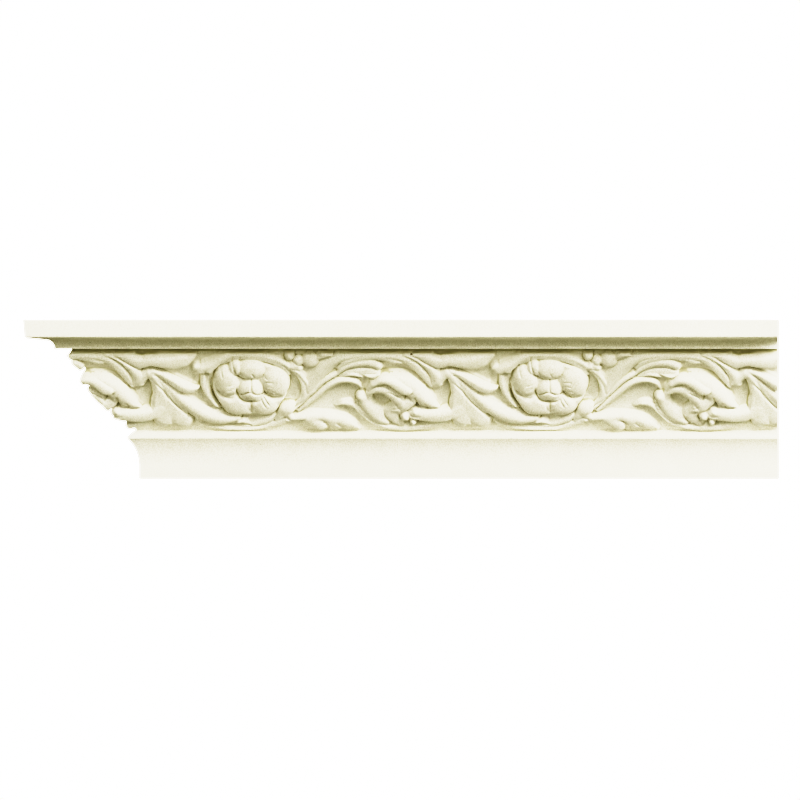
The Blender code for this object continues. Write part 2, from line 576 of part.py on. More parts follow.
def cast_material():
    """Matt cream cast resin, ready for paint."""
    material = bpy.data.materials.new("cream cast")
    material.use_nodes = True
    shader = material.node_tree.nodes["Principled BSDF"]
    shader.inputs["Base Color"].default_value = CAST_COLOUR
    shader.inputs["Roughness"].default_value = CAST_ROUGHNESS
    shader.inputs["Metallic"].default_value = 0.0
    return material


def build_moulding():
    """The moulding: the carved strip, cut to a mitre at the left and square at the right."""
    mesh = thinned(strip_mesh(strip_grid()))
    shape = bmesh.new()
    shape.from_mesh(mesh)
    bmesh.ops.remove_doubles(shape, verts=shape.verts[:], dist=SNAP * MM)
    cut_end(shape, Vector((-HALF_BACK * MM, 0.0, 0.0)), Vector((-1.0, 1.0, 0.0)).normalized())
    cut_end(shape, Vector((HALF_BACK * MM, 0.0, 0.0)), Vector((1.0, 0.0, 0.0)))
    bmesh.ops.remove_doubles(shape, verts=shape.verts[:], dist=MERGE * MM)
    bmesh.ops.triangulate(shape, faces=shape.faces[:])
    bmesh.ops.recalc_face_normals(shape, faces=shape.faces[:])
    shape.to_mesh(mesh)
    shape.free()
    mesh.materials.append(cast_material())
    moulding = bpy.data.objects.new("cornice_moulding", mesh)
    bpy.context.scene.collection.objects.link(moulding)
    mesh.shade_smooth()
    mesh.set_sharp_from_angle(angle=math.radians(40))
    return moulding


def main():
    """Empties the scene and builds the moulding."""
    for item in list(bpy.data.objects):
        bpy.data.objects.remove(item)
    build_moulding()


main()
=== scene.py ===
"""Looks of an ornamental cornice moulding: one casting with a carved acanthus frieze.

Lengths are in millimetres until a mesh is made. The studio and the textures are in metres. The
moulding runs along X, its face looks along -Y, +Z is up and the origin is the middle of the face
glued to the wall. The frieze is drawn on a carver's squared grid, seen from the front: x counts
squares along from the start of a repeat, y counts squares down.
"""

import logging
import math
from collections.abc import Iterator
from dataclasses import dataclass, field
from enum import Enum

import bmesh
import bpy
import numpy as np
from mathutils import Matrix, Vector


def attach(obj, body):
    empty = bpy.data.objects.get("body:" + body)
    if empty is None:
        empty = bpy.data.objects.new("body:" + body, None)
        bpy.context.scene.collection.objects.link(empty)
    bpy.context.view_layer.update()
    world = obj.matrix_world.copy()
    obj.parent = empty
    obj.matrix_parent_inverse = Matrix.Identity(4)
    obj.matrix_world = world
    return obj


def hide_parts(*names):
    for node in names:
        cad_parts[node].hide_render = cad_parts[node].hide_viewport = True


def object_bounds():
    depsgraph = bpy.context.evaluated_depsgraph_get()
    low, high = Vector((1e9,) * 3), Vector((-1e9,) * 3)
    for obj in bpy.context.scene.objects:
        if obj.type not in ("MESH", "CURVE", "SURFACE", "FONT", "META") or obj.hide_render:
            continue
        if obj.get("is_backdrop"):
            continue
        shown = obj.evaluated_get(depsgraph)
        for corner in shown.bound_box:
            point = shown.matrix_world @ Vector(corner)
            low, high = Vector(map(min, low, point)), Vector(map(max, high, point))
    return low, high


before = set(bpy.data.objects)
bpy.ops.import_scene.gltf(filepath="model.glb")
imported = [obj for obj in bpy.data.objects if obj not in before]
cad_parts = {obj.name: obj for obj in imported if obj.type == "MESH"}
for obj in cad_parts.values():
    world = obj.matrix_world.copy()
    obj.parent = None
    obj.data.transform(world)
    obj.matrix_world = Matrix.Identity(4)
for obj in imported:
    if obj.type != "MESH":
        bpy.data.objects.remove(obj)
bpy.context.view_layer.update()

MM = 0.001
TINY = 1e-6
NODE = "cornice_moulding"
LOG = logging.getLogger("cornice")
Point = tuple[float, float]
Span = tuple[float, float]
Colour = tuple[float, float, float, float]

# A line cut along the foot of a form: its half width, its place as a share of the wall's width,
# and the side of a round form that it follows, as right and down
CUT_WIDTH = 0.75
CUT_PLACE = 0.9
CUT_SIDE = (-0.5, 0.85)


class End(Enum):
    """The two ways an end of the moulding is cut, as the outward normal of the cut."""

    MITRE = (-1.0, 1.0, 0.0)
    SQUARE = (1.0, 0.0, 0.0)


def smooth_step(x: np.ndarray) -> np.ndarray:
    """Eased 0 to 1: 3 x squared minus 2 x cubed, held at the ends."""
    x = np.clip(x, 0.0, 1.0)
    return x * x * (3.0 - 2.0 * x)


def soft_max(a: np.ndarray, b: np.ndarray, blend: float) -> np.ndarray:
    """The larger of two heights, with the corner between them filled.

    The fill is a quarter of blend times the square of the overlap, where overlap is how far the
    two are within blend of each other, from 0 to 1.

    Args:
        a: One height field.
        b: The other.
        blend: Height over which the corner is filled.

    Returns:
        The joined height field.
    """
    overlap = np.clip(blend - np.abs(a - b), 0.0, None) / blend
    return np.maximum(a, b) + 0.25 * blend * overlap * overlap


def spread(values: tuple[float, ...], along: np.ndarray) -> np.ndarray:
    """Values set at equal spacing from 0 to 1, read at along by straight interpolation."""
    return np.interp(along, np.linspace(0.0, 1.0, len(values)), values)


@dataclass(frozen=True)
class Section:
    """The moulding's section, as (out, up): out from the wall and up from the foot.

    The face glued to the wall is wall_bearing high and the one glued to the ceiling starts at
    ceiling_back. The ledge over the band ends in a lip, with a groove running up behind it.
    """

    height: float = 105.5
    projection: float = 87.8
    wall_bearing: float = 44.0
    ceiling_back: float = 50.0
    fascia_foot: Point = (86.9, 95.8)
    fascia_round: float = 1.9
    lip_back: Point = (73.2, 92.7)
    cove_radius: float = 6.1
    ledge_front: Point = (67.1, 86.6)
    lip: float = 0.9
    groove: float = 1.7
    band_top: Point = (55.6, 84.8)
    band_foot: Point = (12.4, 32.2)
    bead_crest: Point = (17.7, 27.9)
    bead_nose: Point = (17.95, 27.1)
    sweep_centre: Point = (35.6, 8.0)
    sweep_radius: float = 25.6
    sweep_top_angle: float = 134.4
    foot_out: float = 10.0
    fascia_end_angle: float = -85.0
    fascia_points: int = 8
    cove_points: int = 24
    sweep_points: int = 32

    @property
    def band_length(self) -> float:
        """Length of the leaning band across the moulding."""
        return math.dist(self.band_top, self.band_foot)

    @property
    def lean_cos(self) -> float:
        """Cosine of the band's lean from upright."""
        return (self.band_top[1] - self.band_foot[1]) / self.band_length

    @property
    def lean_sin(self) -> float:
        """Sine of the band's lean from upright."""
        return (self.band_top[0] - self.band_foot[0]) / self.band_length

    def to_band(self, out: np.ndarray, up: np.ndarray) -> tuple[np.ndarray, np.ndarray]:
        """Turns section places into the band's own directions.

        Args:
            out: Distances from the wall.
            up: Heights above the foot.

        Returns:
            Distance down the band from its top, and height above it.
        """
        out, up = out - self.band_top[0], up - self.band_top[1]
        return -out * self.lean_sin - up * self.lean_cos, out * self.lean_cos - up * self.lean_sin

    def from_band(self, down: np.ndarray, rise: np.ndarray) -> tuple[np.ndarray, np.ndarray]:
        """Turns distances down the band and heights above it into out and up."""
        out = self.band_top[0] - down * self.lean_sin + rise * self.lean_cos
        return out, self.band_top[1] - down * self.lean_cos - rise * self.lean_sin

    def ledge_line(self, out: np.ndarray) -> np.ndarray:
        """Height of the straight line from the ledge's front to the band's top."""
        front, back = self.ledge_front, self.band_top
        return back[1] + (front[1] - back[1]) * (out - back[0]) / (front[0] - back[0])

    def undercut(self, out: np.ndarray, up: np.ndarray) -> np.ndarray:
        """Lifts the ledge's underside behind its lip, which leaves a dark line over the band.

        The lift grows over the lip's thickness and fades below the straight line from the ledge's
        front to the band's top.

        Args:
            out: Distances from the wall.
            up: Heights above the foot.

        Returns:
            The new heights above the foot.
        """
        behind = smooth_step((self.ledge_front[0] - out) / self.lip)
        close = smooth_step((self.lip - (self.ledge_line(out) - up)) / self.lip)
        return up + self.groove * behind * close * (out > self.band_top[0] - self.lip)

    def in_groove(self, out: np.ndarray, up: np.ndarray) -> np.ndarray:
        """How far each place lies up inside the groove behind the ledge's lip, which gets painted
        shade.

        Args:
            out: Distances from the wall.
            up: Heights above the foot.

        Returns:
            0 outside the groove, up to 1 deep inside it.
        """
        front, back = self.ledge_front, self.band_top
        inside = (out > back[0] - self.lip) & (out < front[0]) & (up < front[1] + self.groove)
        return inside * smooth_step((up - self.ledge_line(out)) / self.lip)

    def arc(self, centre: Point, radius: float, start: float, end: float, count: int) -> np.ndarray:
        """Points (out, up) on a circle, at equal angles.

        Args:
            centre: The circle's centre.
            radius: Its radius.
            start: The first angle, in degrees up from straight out.
            end: The last angle.
            count: How many points.

        Returns:
            The points by row.
        """
        angles = np.radians(np.linspace(start, end, count))
        return np.array(centre) + radius * np.stack([np.cos(angles), np.sin(angles)], axis=1)

    def above(self) -> np.ndarray:
        """The outline from the ceiling face's back edge round the fascia and cove to the ledge."""
        fascia_centre = (self.fascia_foot[0] - self.fascia_round, self.fascia_foot[1])
        cove_centre = (self.lip_back[0], self.lip_back[1] - self.cove_radius)
        return np.vstack([
            [(self.ceiling_back, self.height), (self.projection, self.height)],
            self.arc(fascia_centre, self.fascia_round, 0, self.fascia_end_angle,
                     self.fascia_points),
            self.arc(cove_centre, self.cove_radius, 90, 180, self.cove_points),
        ])

    def below(self) -> np.ndarray:
        """The outline from the bead down the sweep and round the foot to the wall face's top."""
        sweep = self.arc(self.sweep_centre, self.sweep_radius, self.sweep_top_angle, 180,
                         self.sweep_points)
        foot = [(self.foot_out, 0.0), (0.0, 0.0), (0.0, self.wall_bearing)]
        return np.vstack([[self.bead_crest, self.bead_nose], sweep, foot])


SECTION = Section()
LEAN_COS, LEAN_SIN = SECTION.lean_cos, SECTION.lean_sin


@dataclass(frozen=True)
class Grid:
    """The squared grid that the frieze is drawn on.

    Its line y = top is the top of the band. A strand or knob is drawn as seen at the share
    shown_at of its rise. Copies are the repeats that the moulding may reach.
    """

    square: float = 0.67
    squares_in_repeat: float = 298.5
    top: float = 1.5
    shown_at: float = 0.6
    copies: tuple[int, ...] = (-2, -1, 0, 1)

    @property
    def repeat(self) -> float:
        """Length of one repeat of the frieze."""
        return self.square * self.squares_in_repeat

    def down(self, y: float, rise: float) -> float:
        """Distance down the band of grid line y, for what is seen from the front at height rise."""
        return ((y - self.top) * self.square - rise * LEAN_SIN) / LEAN_COS

    def place(self, point: Point, rise: float) -> np.ndarray:
        """A grid point as (along, down) on the band."""
        return np.array([point[0] * self.square, self.down(point[1], rise)])

    def near(self, u: np.ndarray, v: np.ndarray, low: np.ndarray,
             high: np.ndarray) -> Iterator[tuple[np.ndarray, np.ndarray, np.ndarray]]:
        """Goes through the repeats in which some of the points lie inside a box.

        Args:
            u: Distances along the moulding.
            v: Distances down the band.
            low: The box's lowest along and down.
            high: The box's highest along and down.

        Yields:
            Along in that repeat, down, and the mask of the points inside the box.
        """
        for copy in self.copies:
            local = u - copy * self.repeat
            inside = (local > low[0]) & (local < high[0]) & (v > low[1]) & (v < high[1])
            if inside.any():
                yield local[inside], v[inside], inside


GRID = Grid()


@dataclass(frozen=True)
class Curve:
    """A smooth route over the band, through a few points."""

    points: np.ndarray

    @classmethod
    def through(cls, points: list[np.ndarray], steps: int = 12) -> "Curve":
        """Joins points by cubic spans.

        The slope at a point is half the step between its neighbours.

        Args:
            points: The route's own points.
            steps: Short chords to a span.

        Returns:
            The curve, as the ends of its chords.
        """
        p = np.asarray(points, float)
        p = np.vstack([2 * p[0] - p[1], p, 2 * p[-1] - p[-2]])
        t = np.linspace(0.0, 1.0, steps, endpoint=False)[None, :, None]
        before, start, end, after = (p[i:len(p) - 3 + i, None, :] for i in range(4))
        square = 2 * before - 5 * start + 4 * end - after
        cube = 3 * start - before - 3 * end + after
        spans = 0.5 * (2 * start + (end - before) * t + square * t ** 2 + cube * t ** 3)
        return cls(np.vstack([spans.reshape(-1, 2), p[-2]]))

    def nearest(self, u: np.ndarray, v: np.ndarray) -> tuple[np.ndarray, np.ndarray, np.ndarray]:
        """Finds the nearest chord of the curve to each point.

        Args:
            u: Distances along the moulding.
            v: Distances down the band.

        Returns:
            Distance from the curve, the part of it square to the chord, positive below a curve
            that runs right, and the share of the curve's chords passed, from 0 to 1.
        """
        start, run = self.points[:-1], self.points[1:] - self.points[:-1]
        from_u, from_v = u[:, None] - start[:, 0], v[:, None] - start[:, 1]
        length = np.maximum(np.hypot(run[:, 0], run[:, 1]), TINY)
        t = np.clip((from_u * run[:, 0] + from_v * run[:, 1]) / length ** 2, 0.0, 1.0)
        gap = np.hypot(from_u - t * run[:, 0], from_v - t * run[:, 1])
        best = gap.argmin(1)
        row = np.arange(len(u))
        turn = run[best, 0] * from_v[row, best] - run[best, 1] * from_u[row, best]
        return gap[row, best], turn / length[best], (best + t[row, best]) / len(start)

    def box(self, margin: float) -> tuple[np.ndarray, np.ndarray]:
        """Lowest and highest along and down of the curve, with a margin."""
        return self.points.min(0) - margin, self.points.max(0) + margin


@dataclass(frozen=True)
class Strand:
    """A stem or a lobe of leaf: a ridge along a path, with an edge height on either side.

    Its back is edge + (1 - edge) (1 - q squared) to the power crown, times the rise, where q is 0
    on the path and 1 at the side, and edge runs from the upper to the lower edge height. The upper
    wall is a soft slope, the lower wall is steep, and a line is cut along its foot. The line
    fades in over a share of the path, so that a strand can part gently from its stem.
    """

    name: str
    path: tuple[Point, ...]
    half: tuple[float, ...]
    rise: tuple[float, ...]
    upper: float = 0.4
    lower: float = 0.7
    slope: float = 2.1
    wall: float = 0.6
    crown: float = 0.6
    cut: float = 1.1
    fade_in: float = 0.02
    blend: float = 0.35

    def lay(self, u: np.ndarray, v: np.ndarray, height: np.ndarray) -> None:
        """Adds the strand to a height field, in place.

        Args:
            u: Distances along the moulding.
            v: Distances down the band.
            height: Heights above the band there.
        """
        rises = spread(self.rise, np.linspace(0.0, 1.0, len(self.path)))
        curve = Curve.through([GRID.place(p, GRID.shown_at * r) for p, r in zip(self.path, rises)])
        margin = max(self.half) * GRID.square + max(self.slope, self.wall + 2.0 * CUT_WIDTH)
        for lu, lv, inside in GRID.near(u, v, *curve.box(margin)):
            gap, across, along = curve.nearest(lu, lv)
            half = spread(self.half, along) * GRID.square
            below = 0.5 + 0.5 * np.clip(across / half, -1.0, 1.0)
            edge = self.upper + (self.lower - self.upper) * below
            back = edge + (1.0 - edge) * (1.0 - np.clip(gap / half, 0.0, 1.0) ** 2) ** self.crown
            wall = self.slope + (self.wall - self.slope) * smooth_step(below)
            ridge = spread(self.rise, along) * back * smooth_step((half + wall - gap) / wall)
            foot = np.exp(-((gap - half - CUT_PLACE * self.wall) / CUT_WIDTH) ** 2)
            shown = smooth_step(below * 2.0 - 1.0) * smooth_step(along / self.fade_in)
            height[inside] = soft_max(height[inside] - self.cut * shown * foot, ridge, self.blend)


@dataclass(frozen=True)
class Knob:
    """A berry, a bud or a puffed petal: an oval dome, with a line cut at its foot, lower left.

    Its height is the rise times the root of 1 - q to the power puff, where q is 0 at the centre
    and 1 at the rim. Turn is in degrees, from right towards down.
    """

    name: str
    centre: Point
    radius: float
    rise: float
    tall: float = 1.0
    turn: float = 0.0
    puff: float = 2.0
    cut: float = 1.2
    blend: float = 0.35

    def lay(self, u: np.ndarray, v: np.ndarray, height: np.ndarray) -> None:
        """Adds the dome to a height field, in place.

        Args:
            u: Distances along the moulding.
            v: Distances down the band.
            height: Heights above the band there.
        """
        middle = GRID.place(self.centre, GRID.shown_at * self.rise)
        radius = self.radius * GRID.square
        cos, sin = math.cos(math.radians(self.turn)), math.sin(math.radians(self.turn))
        reach = radius * max(1.0, self.tall) + 2.0 * CUT_WIDTH
        for lu, lv, inside in GRID.near(u, v, middle - reach, middle + reach):
            right, below = lu - middle[0], lv - middle[1]
            crosswise = (below * cos - right * sin) / self.tall
            out = np.hypot(right * cos + below * sin, crosswise) / radius
            dome = self.rise * np.sqrt(np.clip(1.0 - out ** self.puff, 0.0, None))
            facing = CUT_SIDE[0] * right + CUT_SIDE[1] * below
            shaded = np.clip(facing / np.maximum(np.hypot(right, below), TINY), 0.0, 1.0)
            line = self.cut * shaded * np.exp(-((out - 1.0) * radius / CUT_WIDTH) ** 2)
            height[inside] = soft_max(height[inside] - line, dome, self.blend)


@dataclass(frozen=True)
class Hollow:
    """An oval scooped out of what lies there, steep above and sloping out below.

    Below its long axis the oval is wider by the factor foot. The cut starts at rim times the oval
    and is at full depth after steep of it above, and after gentle of it below.
    """

    name: str
    centre: Point
    long: float
    wide: float
    turn: float
    floor: float
    lift: float
    foot: float = 1.9
    rim: float = 1.2
    steep: float = 0.45
    gentle: float = 0.9

    def lay(self, u: np.ndarray, v: np.ndarray, height: np.ndarray) -> None:
        """Lowers a height field to the floor inside the oval, in place.

        Args:
            u: Distances along the moulding.
            v: Distances down the band.
            height: Heights above the band there.
        """
        middle = GRID.place(self.centre, self.lift)
        cos, sin = math.cos(math.radians(self.turn)), math.sin(math.radians(self.turn))
        reach = self.foot * max(self.long, self.wide) * GRID.square
        for lu, lv, inside in GRID.near(u, v, middle - reach, middle + reach):
            du, dv = lu - middle[0], lv - middle[1]
            lengthwise = (du * cos + dv * sin) / (self.long * GRID.square)
            crosswise = (dv * cos - du * sin) / (self.wide * GRID.square)
            crosswise = np.where(crosswise > 0.0, crosswise / self.foot, crosswise)
            side = np.where(crosswise > 0.0, self.gentle, self.steep)
            cut = smooth_step((self.rim - np.hypot(lengthwise, crosswise)) / side)
            here = height[inside]
            height[inside] = here + cut * (np.minimum(here, self.floor) - here)


@dataclass(frozen=True)
class Crease:
    """A fine groove along a path: a bell curve across it, fading out at both ends.

    Each fading end is the path's length divided by taper. Lift is the height of what it is cut in.
    Beyond reach half widths nothing is cut.
    """

    name: str
    path: tuple[Point, ...]
    half: float = 0.8
    depth: float = 0.5
    lift: float = 6.0
    taper: float = 5.0
    reach: float = 2.5

    def lay(self, u: np.ndarray, v: np.ndarray, height: np.ndarray) -> None:
        """Cuts the groove into a height field, in place.

        Args:
            u: Distances along the moulding.
            v: Distances down the band.
            height: Heights above the band there.
        """
        curve = Curve.through([GRID.place(point, self.lift) for point in self.path])
        half = self.half * GRID.square
        for lu, lv, inside in GRID.near(u, v, *curve.box(self.reach * half)):
            gap, _, along = curve.nearest(lu, lv)
            fade = smooth_step(self.taper * along) * smooth_step(self.taper * (1.0 - along))
            height[inside] -= self.depth * fade * np.exp(-(gap / half) ** 2)


Form = Strand | Knob | Hollow | Crease

# One repeat of the frieze, from its lowest forms to its highest. A path runs left to right or
# downwards, so that its lower side faces down or left.
FORMS: tuple[Form, ...] = (
    # Grooves in the ground, close under the tallest forms
    Crease("under top leaf",
           ((117, 14), (123, 16.8), (131, 18.8), (141, 20), (150, 18.6), (157, 14.8), (163, 9)),
           half=1.7, depth=2.6, lift=0),
    Crease("under pod",
           ((138, 31), (144, 36), (150, 41.4), (156, 44.8), (162, 43.4), (166, 39.5)),
           half=1.3, depth=1.3, lift=0),
    Crease("under crescent",
           ((152, 58.5), (160, 66.4), (168, 72), (176, 75.4), (186, 77.2), (196, 77), (204, 74.6)),
           half=1.3, depth=1.3, lift=0),
    Crease("under flower",
           ((178, 36), (179, 44), (183, 51.5), (188, 60), (195, 65.6), (205, 68), (213, 69),
            (222, 69), (232, 68)), half=1.5, depth=1.3, lift=0),
    Crease("under head", ((80, 52), (88, 57.5), (97, 60.4), (106, 59.4)),
           half=1.2, depth=1.3, lift=0),
    Crease("under arch", ((92, 31), (98, 36.5), (104, 39.5), (110, 37)),
           half=1.6, depth=1.3, lift=0),
    Crease("under low leaf", ((262, 74.6), (268, 75), (274, 74.4), (281, 76.5), (286, 80)),
           half=1.2, depth=1.3, lift=0),
    Crease("under ring", ((161, 20), (167, 25), (173, 25), (181, 24.5)),
           half=1.2, depth=1.3, lift=0),
    # Stems along the foot of the band
    Strand("foot strand",
           ((166, 71), (176, 75), (190, 77.5), (205, 78.2), (220, 78), (232, 77), (244, 75),
            (254, 71)), half=(1.5, 2, 2.2, 2.5), rise=(2, 3, 3, 3.5)),
    Strand("foot rib a", ((212, 76), (224, 73.5), (236, 70), (246, 65)),
           half=(1.5, 3, 3.4, 2.4), rise=(2.2, 3, 3.4, 3.4), upper=0.6, cut=0.4, blend=0.7),
    Strand("foot rib b", ((226, 77.5), (238, 74.5), (249, 71), (260, 66)),
           half=(1.5, 3, 3.4, 2.8), rise=(2.4, 3.2, 3.8, 4), upper=0.6, cut=0.6, blend=0.7),
    Strand("foot sprig", ((200, 73.5), (206, 71), (213, 70.8), (219, 73)),
           half=(0.6, 3, 3, 1), rise=(2, 4.4, 4.4, 2.5)),
    Strand("low stem",
           ((7, 55), (13, 53.2), (20, 53.4), (27, 57.2), (33, 63), (40, 69.2), (49, 74), (60, 77),
            (72, 77.5), (86, 77), (100, 75), (112, 71), (120, 66)),
           half=(0.6, 2.2, 2.9, 3, 3, 3, 3, 2.9, 2.9, 3.2, 3.6, 3.5, 3),
           rise=(1.8, 3.4, 3.8, 3.8, 3.8, 3.8, 3.8, 3.7, 3.7, 3.7, 3.8, 3.8, 4), upper=0.6,
           lower=0.8, cut=1.4),
    Strand("low stem rib", ((27, 51), (31, 58), (38, 65), (46, 70.5), (56, 75), (66, 76.5)),
           half=(1, 2, 2.2, 2, 1.5), rise=(3.2, 3.4, 3.2, 2), cut=0.5, blend=0.8),
    # The arch over the scroll
    Strand("arch broad",
           ((-34, 58), (-25, 46), (-17, 33), (-7, 20), (4, 11.5), (18, 7), (34, 5), (52, 4)),
           half=(3, 6.5, 8, 8.5, 7, 4.5, 3.5, 3), rise=(3, 3.2, 3.6, 4, 4.2, 4.2), upper=0.3,
           lower=0.3, crown=0.9),
    Strand("ledge sliver", ((-14, 9), (-5, 4.5), (6, 1.2), (18, 0)),
           half=(2, 3.5, 2.5, 1), rise=(2.5, 4.8, 4.6), upper=0.5, lower=0.85),
    Strand("arch rib", ((-35, 58), (-27, 51), (-17, 41), (-8, 32), (2, 25.5), (12, 21)),
           half=(1.5, 2, 2.5, 3, 3, 2), rise=(3, 3.6, 4, 4.2, 3), upper=0.3, lower=0.6),
    Strand("arch inner",
           ((8, 18), (16, 11.5), (28, 8), (42, 6.3), (56, 5.8), (68, 6.8), (77, 9.5), (85, 14.5),
            (92, 21), (98, 27.5), (103, 33.5)),
           half=(1, 3, 3.5, 3.2, 3, 3.2, 4, 4.6, 5, 5, 4.4),
           rise=(3, 4.2, 4.4, 4.5, 4.6, 4.8, 5, 5.2, 5.4, 5.2, 4.6), upper=0.55, lower=0.85,
           cut=0.8),
    Strand("arch lobe", ((49, 8), (57, 8), (64, 10.5), (71, 11.5)),
           half=(2, 3.2, 3.5, 2), rise=(4.3, 4.5, 4.4), upper=0.6, lower=0.85),
    Strand("arch outer",
           ((40, 1.5), (54, 1), (67, 1.6), (78, 4), (88, 8.5), (97, 15), (104, 22.5), (107.5, 28),
            (108, 32)),
           half=(1.5, 2.2, 2.5, 2.8, 3.2, 4, 5, 6, 6),
           rise=(4.5, 4.6, 4.8, 5.2, 5.6, 6, 6, 5.6, 5), upper=0.5, lower=0.8, cut=0.7, blend=0.8),
    Strand("notch bridge",
           ((107, 31), (112, 26.5), (118, 23.2), (123.5, 25.5), (126.5, 32), (127, 39)),
           half=(4.4, 4.6, 4.8, 4.4, 3, 1.8), rise=(5.4, 5.5, 5.5, 5.2, 4.8), upper=0.6,
           lower=0.8, cut=0.8, blend=1.0),
    # Curl leaf under the arch
    Strand("curl bed", ((9, 25), (20, 22.5), (32, 21.6), (45, 22)),
           half=(1.5, 4.6, 5.6, 4.5), rise=(2.6, 3.6, 3.8, 3.8), upper=0.7, lower=0.8, cut=0.8),
    Strand("curl rim", ((4, 27), (12, 19), (22, 14.3), (33, 12.3), (42, 13), (48.5, 16)),
           half=(1, 2.8, 4.2, 4.8, 5, 4.6), rise=(3, 4.2, 4.9, 5.2, 5.1, 4.7), upper=0.2),
    Strand("curl tip a", ((13, 25.6), (20, 23.8), (27, 24.2), (33, 26)),
           half=(1, 2.2, 2.4, 1), rise=(3, 4.6, 4.6, 3.6), upper=0.3, lower=0.85, cut=0.8,
           blend=0.5),
    Strand("curl tip b", ((33, 23), (39, 25.2), (45, 25.4), (49, 23)),
           half=(1, 2.6, 2.8, 1.4), rise=(3.8, 5, 5, 4.6), upper=0.3, lower=0.85, cut=0.8,
           blend=0.5),
    Strand("tendril",
           ((-31, 60), (-22, 52.4), (-12, 43.6), (-2, 35.4), (8, 30.4), (18, 29.4), (26, 31.4),
            (30, 35), (32, 38.5)),
           half=(1.5, 2.4, 2.7, 3, 3.2, 3.2, 2.9, 2, 0.8),
           rise=(3.4, 4.2, 4.5, 4.8, 5, 5, 4.6, 4, 2.5), upper=0.25, lower=0.8),
    # The scroll itself
    Strand("jaw leaf", ((31, 47), (36, 55), (41.5, 61.5), (47.5, 66.5), (53, 70), (57.5, 72.5)),
           half=(4.5, 5.2, 6.2, 6.6, 5, 2), rise=(5.6, 5, 5, 5.2, 4.8, 3.8), upper=0.7, lower=0.5,
           wall=1.2, cut=0.4, blend=0.8),
    Knob("jaw knob", (31.5, 47), radius=6.0, rise=6.0, tall=1.15, cut=0.4, blend=1.2),
    Strand("chin", ((57, 63), (64, 66.5), (68, 70), (71, 73)),
           half=(5, 6.5, 6, 3), rise=(4.4, 4.4, 3.8), upper=0.7, cut=0.3, blend=2),
    Strand("head",
           ((39, 46), (41.5, 37), (49, 31), (59, 28.5), (70, 29.8), (79, 35), (87, 42.3),
            (95, 49), (102, 53.5), (108.5, 56)),
           half=(3, 4.2, 4.8, 5.8, 7.8, 9.8, 10.6, 8.6, 5.5, 1.6),
           rise=(4.5, 5.5, 7, 8, 8.6, 9, 8.8, 8.2, 6.8, 4.4), upper=0.35, crown=0.55, cut=1.6),
    Strand("cheek", ((60, 59), (67, 57), (74, 54.5), (81, 50.5)),
           half=(4, 5.8, 6.4, 5), rise=(5.2, 6.8, 7.4, 7.2), upper=0.8, lower=0.85, wall=1.2,
           cut=0.6, blend=2),
    Strand("eye rim",
           ((38, 42), (38.5, 49), (43, 56.5), (51, 61), (61, 62.5), (70, 61), (76, 57)),
           half=(2, 3.4, 4.6, 5.2, 5, 4, 2), rise=(4.8, 4.4, 4.3, 4.3, 4.5, 4.8, 5.2), upper=0.6,
           lower=0.8, crown=0.9, cut=0, blend=1.8),
    Hollow("eye", (52, 50), long=10, wide=4.8, turn=36, floor=-0.4, lift=5.0),
    Strand("finger low", ((40, 42), (47, 38.8), (55, 39), (62.5, 42.8), (68.5, 49), (71.5, 55)),
           half=(2, 4, 5.2, 6, 6, 3), rise=(5.8, 7.4, 8.4, 8.6, 8.2, 6.8), upper=0.7, lower=0.85,
           cut=0.5),
    Strand("finger high", ((43, 33.5), (52, 29.3), (61, 30), (68.5, 34), (74, 37.8), (77, 38.6)),
           half=(1.5, 3.4, 4.4, 5, 5.4, 5), rise=(7.6, 9.2, 10.2, 10.6, 10.6, 10.4), upper=0.8,
           lower=0.9, crown=0.4, cut=1.9, blend=0.25),
    Crease("lid line", ((57, 40.5), (64, 43.8), (70, 47.5), (74, 52)), depth=0.8, lift=6.5),
    Crease("lid foot", ((62, 58), (67, 57.8), (72.5, 54.5)), half=0.9, depth=0.9, lift=4.5),
    Crease("head notch a", ((84, 46), (86, 50), (88, 56)), half=1.2, depth=1.3, lift=6.5),
    Crease("head notch b", ((94, 52), (96, 55), (98, 59)), half=1.1, depth=1.0),
    Strand("tongue", ((83, 63), (91, 63.3), (102, 64.5), (112, 64.5), (121, 62.5), (129, 58)),
           half=(5.4, 7.4, 7.6, 7.6, 7.2, 6), rise=(7.4, 7.4, 6.8, 6.2, 5.8, 5.2), upper=0.5,
           lower=0.86),
    Knob("tongue knob", (85.5, 61), radius=6.2, rise=8.2),
    Hollow("berry gap", (82, 67.5), long=2.6, wide=2.2, turn=0, floor=2.4, lift=3.5),
    Knob("berry large", (75.5, 66), radius=6.2, rise=7.6, tall=1.2, cut=2.0),
    Knob("berry small", (83.5, 71.2), radius=4.4, rise=6.6, tall=1.2),
    # Trunk of the spray and its leaves
    Strand("trunk edge", ((122, 28), (125.5, 35), (125, 43), (123.5, 50), (122.5, 55.5)),
           half=(1.5, 2.4, 2.6, 3.4, 2.6), rise=(5, 4.8, 4.6, 4.6, 4.2), upper=0.5, lower=0.8,
           cut=0.8, blend=1.0),
    Strand("trunk", ((118, 22), (126, 32), (132.5, 43), (136.5, 52), (139, 60)),
           half=(3, 5.5, 10, 15, 17), rise=(5.4, 5.2, 5.2, 5.2, 5), upper=0.9, lower=0.9,
           wall=2.0, crown=0.8, cut=0, blend=1.5),
    Knob("trunk left lobe", (131, 68), radius=9.5, rise=4.8, tall=1.45, puff=4, cut=0.8, blend=1.8),
    Knob("trunk right lobe", (151.5, 69.5), radius=11, rise=4.9, turn=32, puff=4, cut=0.8,
         blend=1.8),
    Strand("crescent",
           ((122, 23), (129, 29.5), (137.5, 37), (146.5, 46), (156, 54), (167, 61), (178, 66),
            (190, 68.5), (200, 68.5), (208, 67)),
           half=(2, 3.2, 4.6, 6, 7, 8, 8, 7, 5, 1),
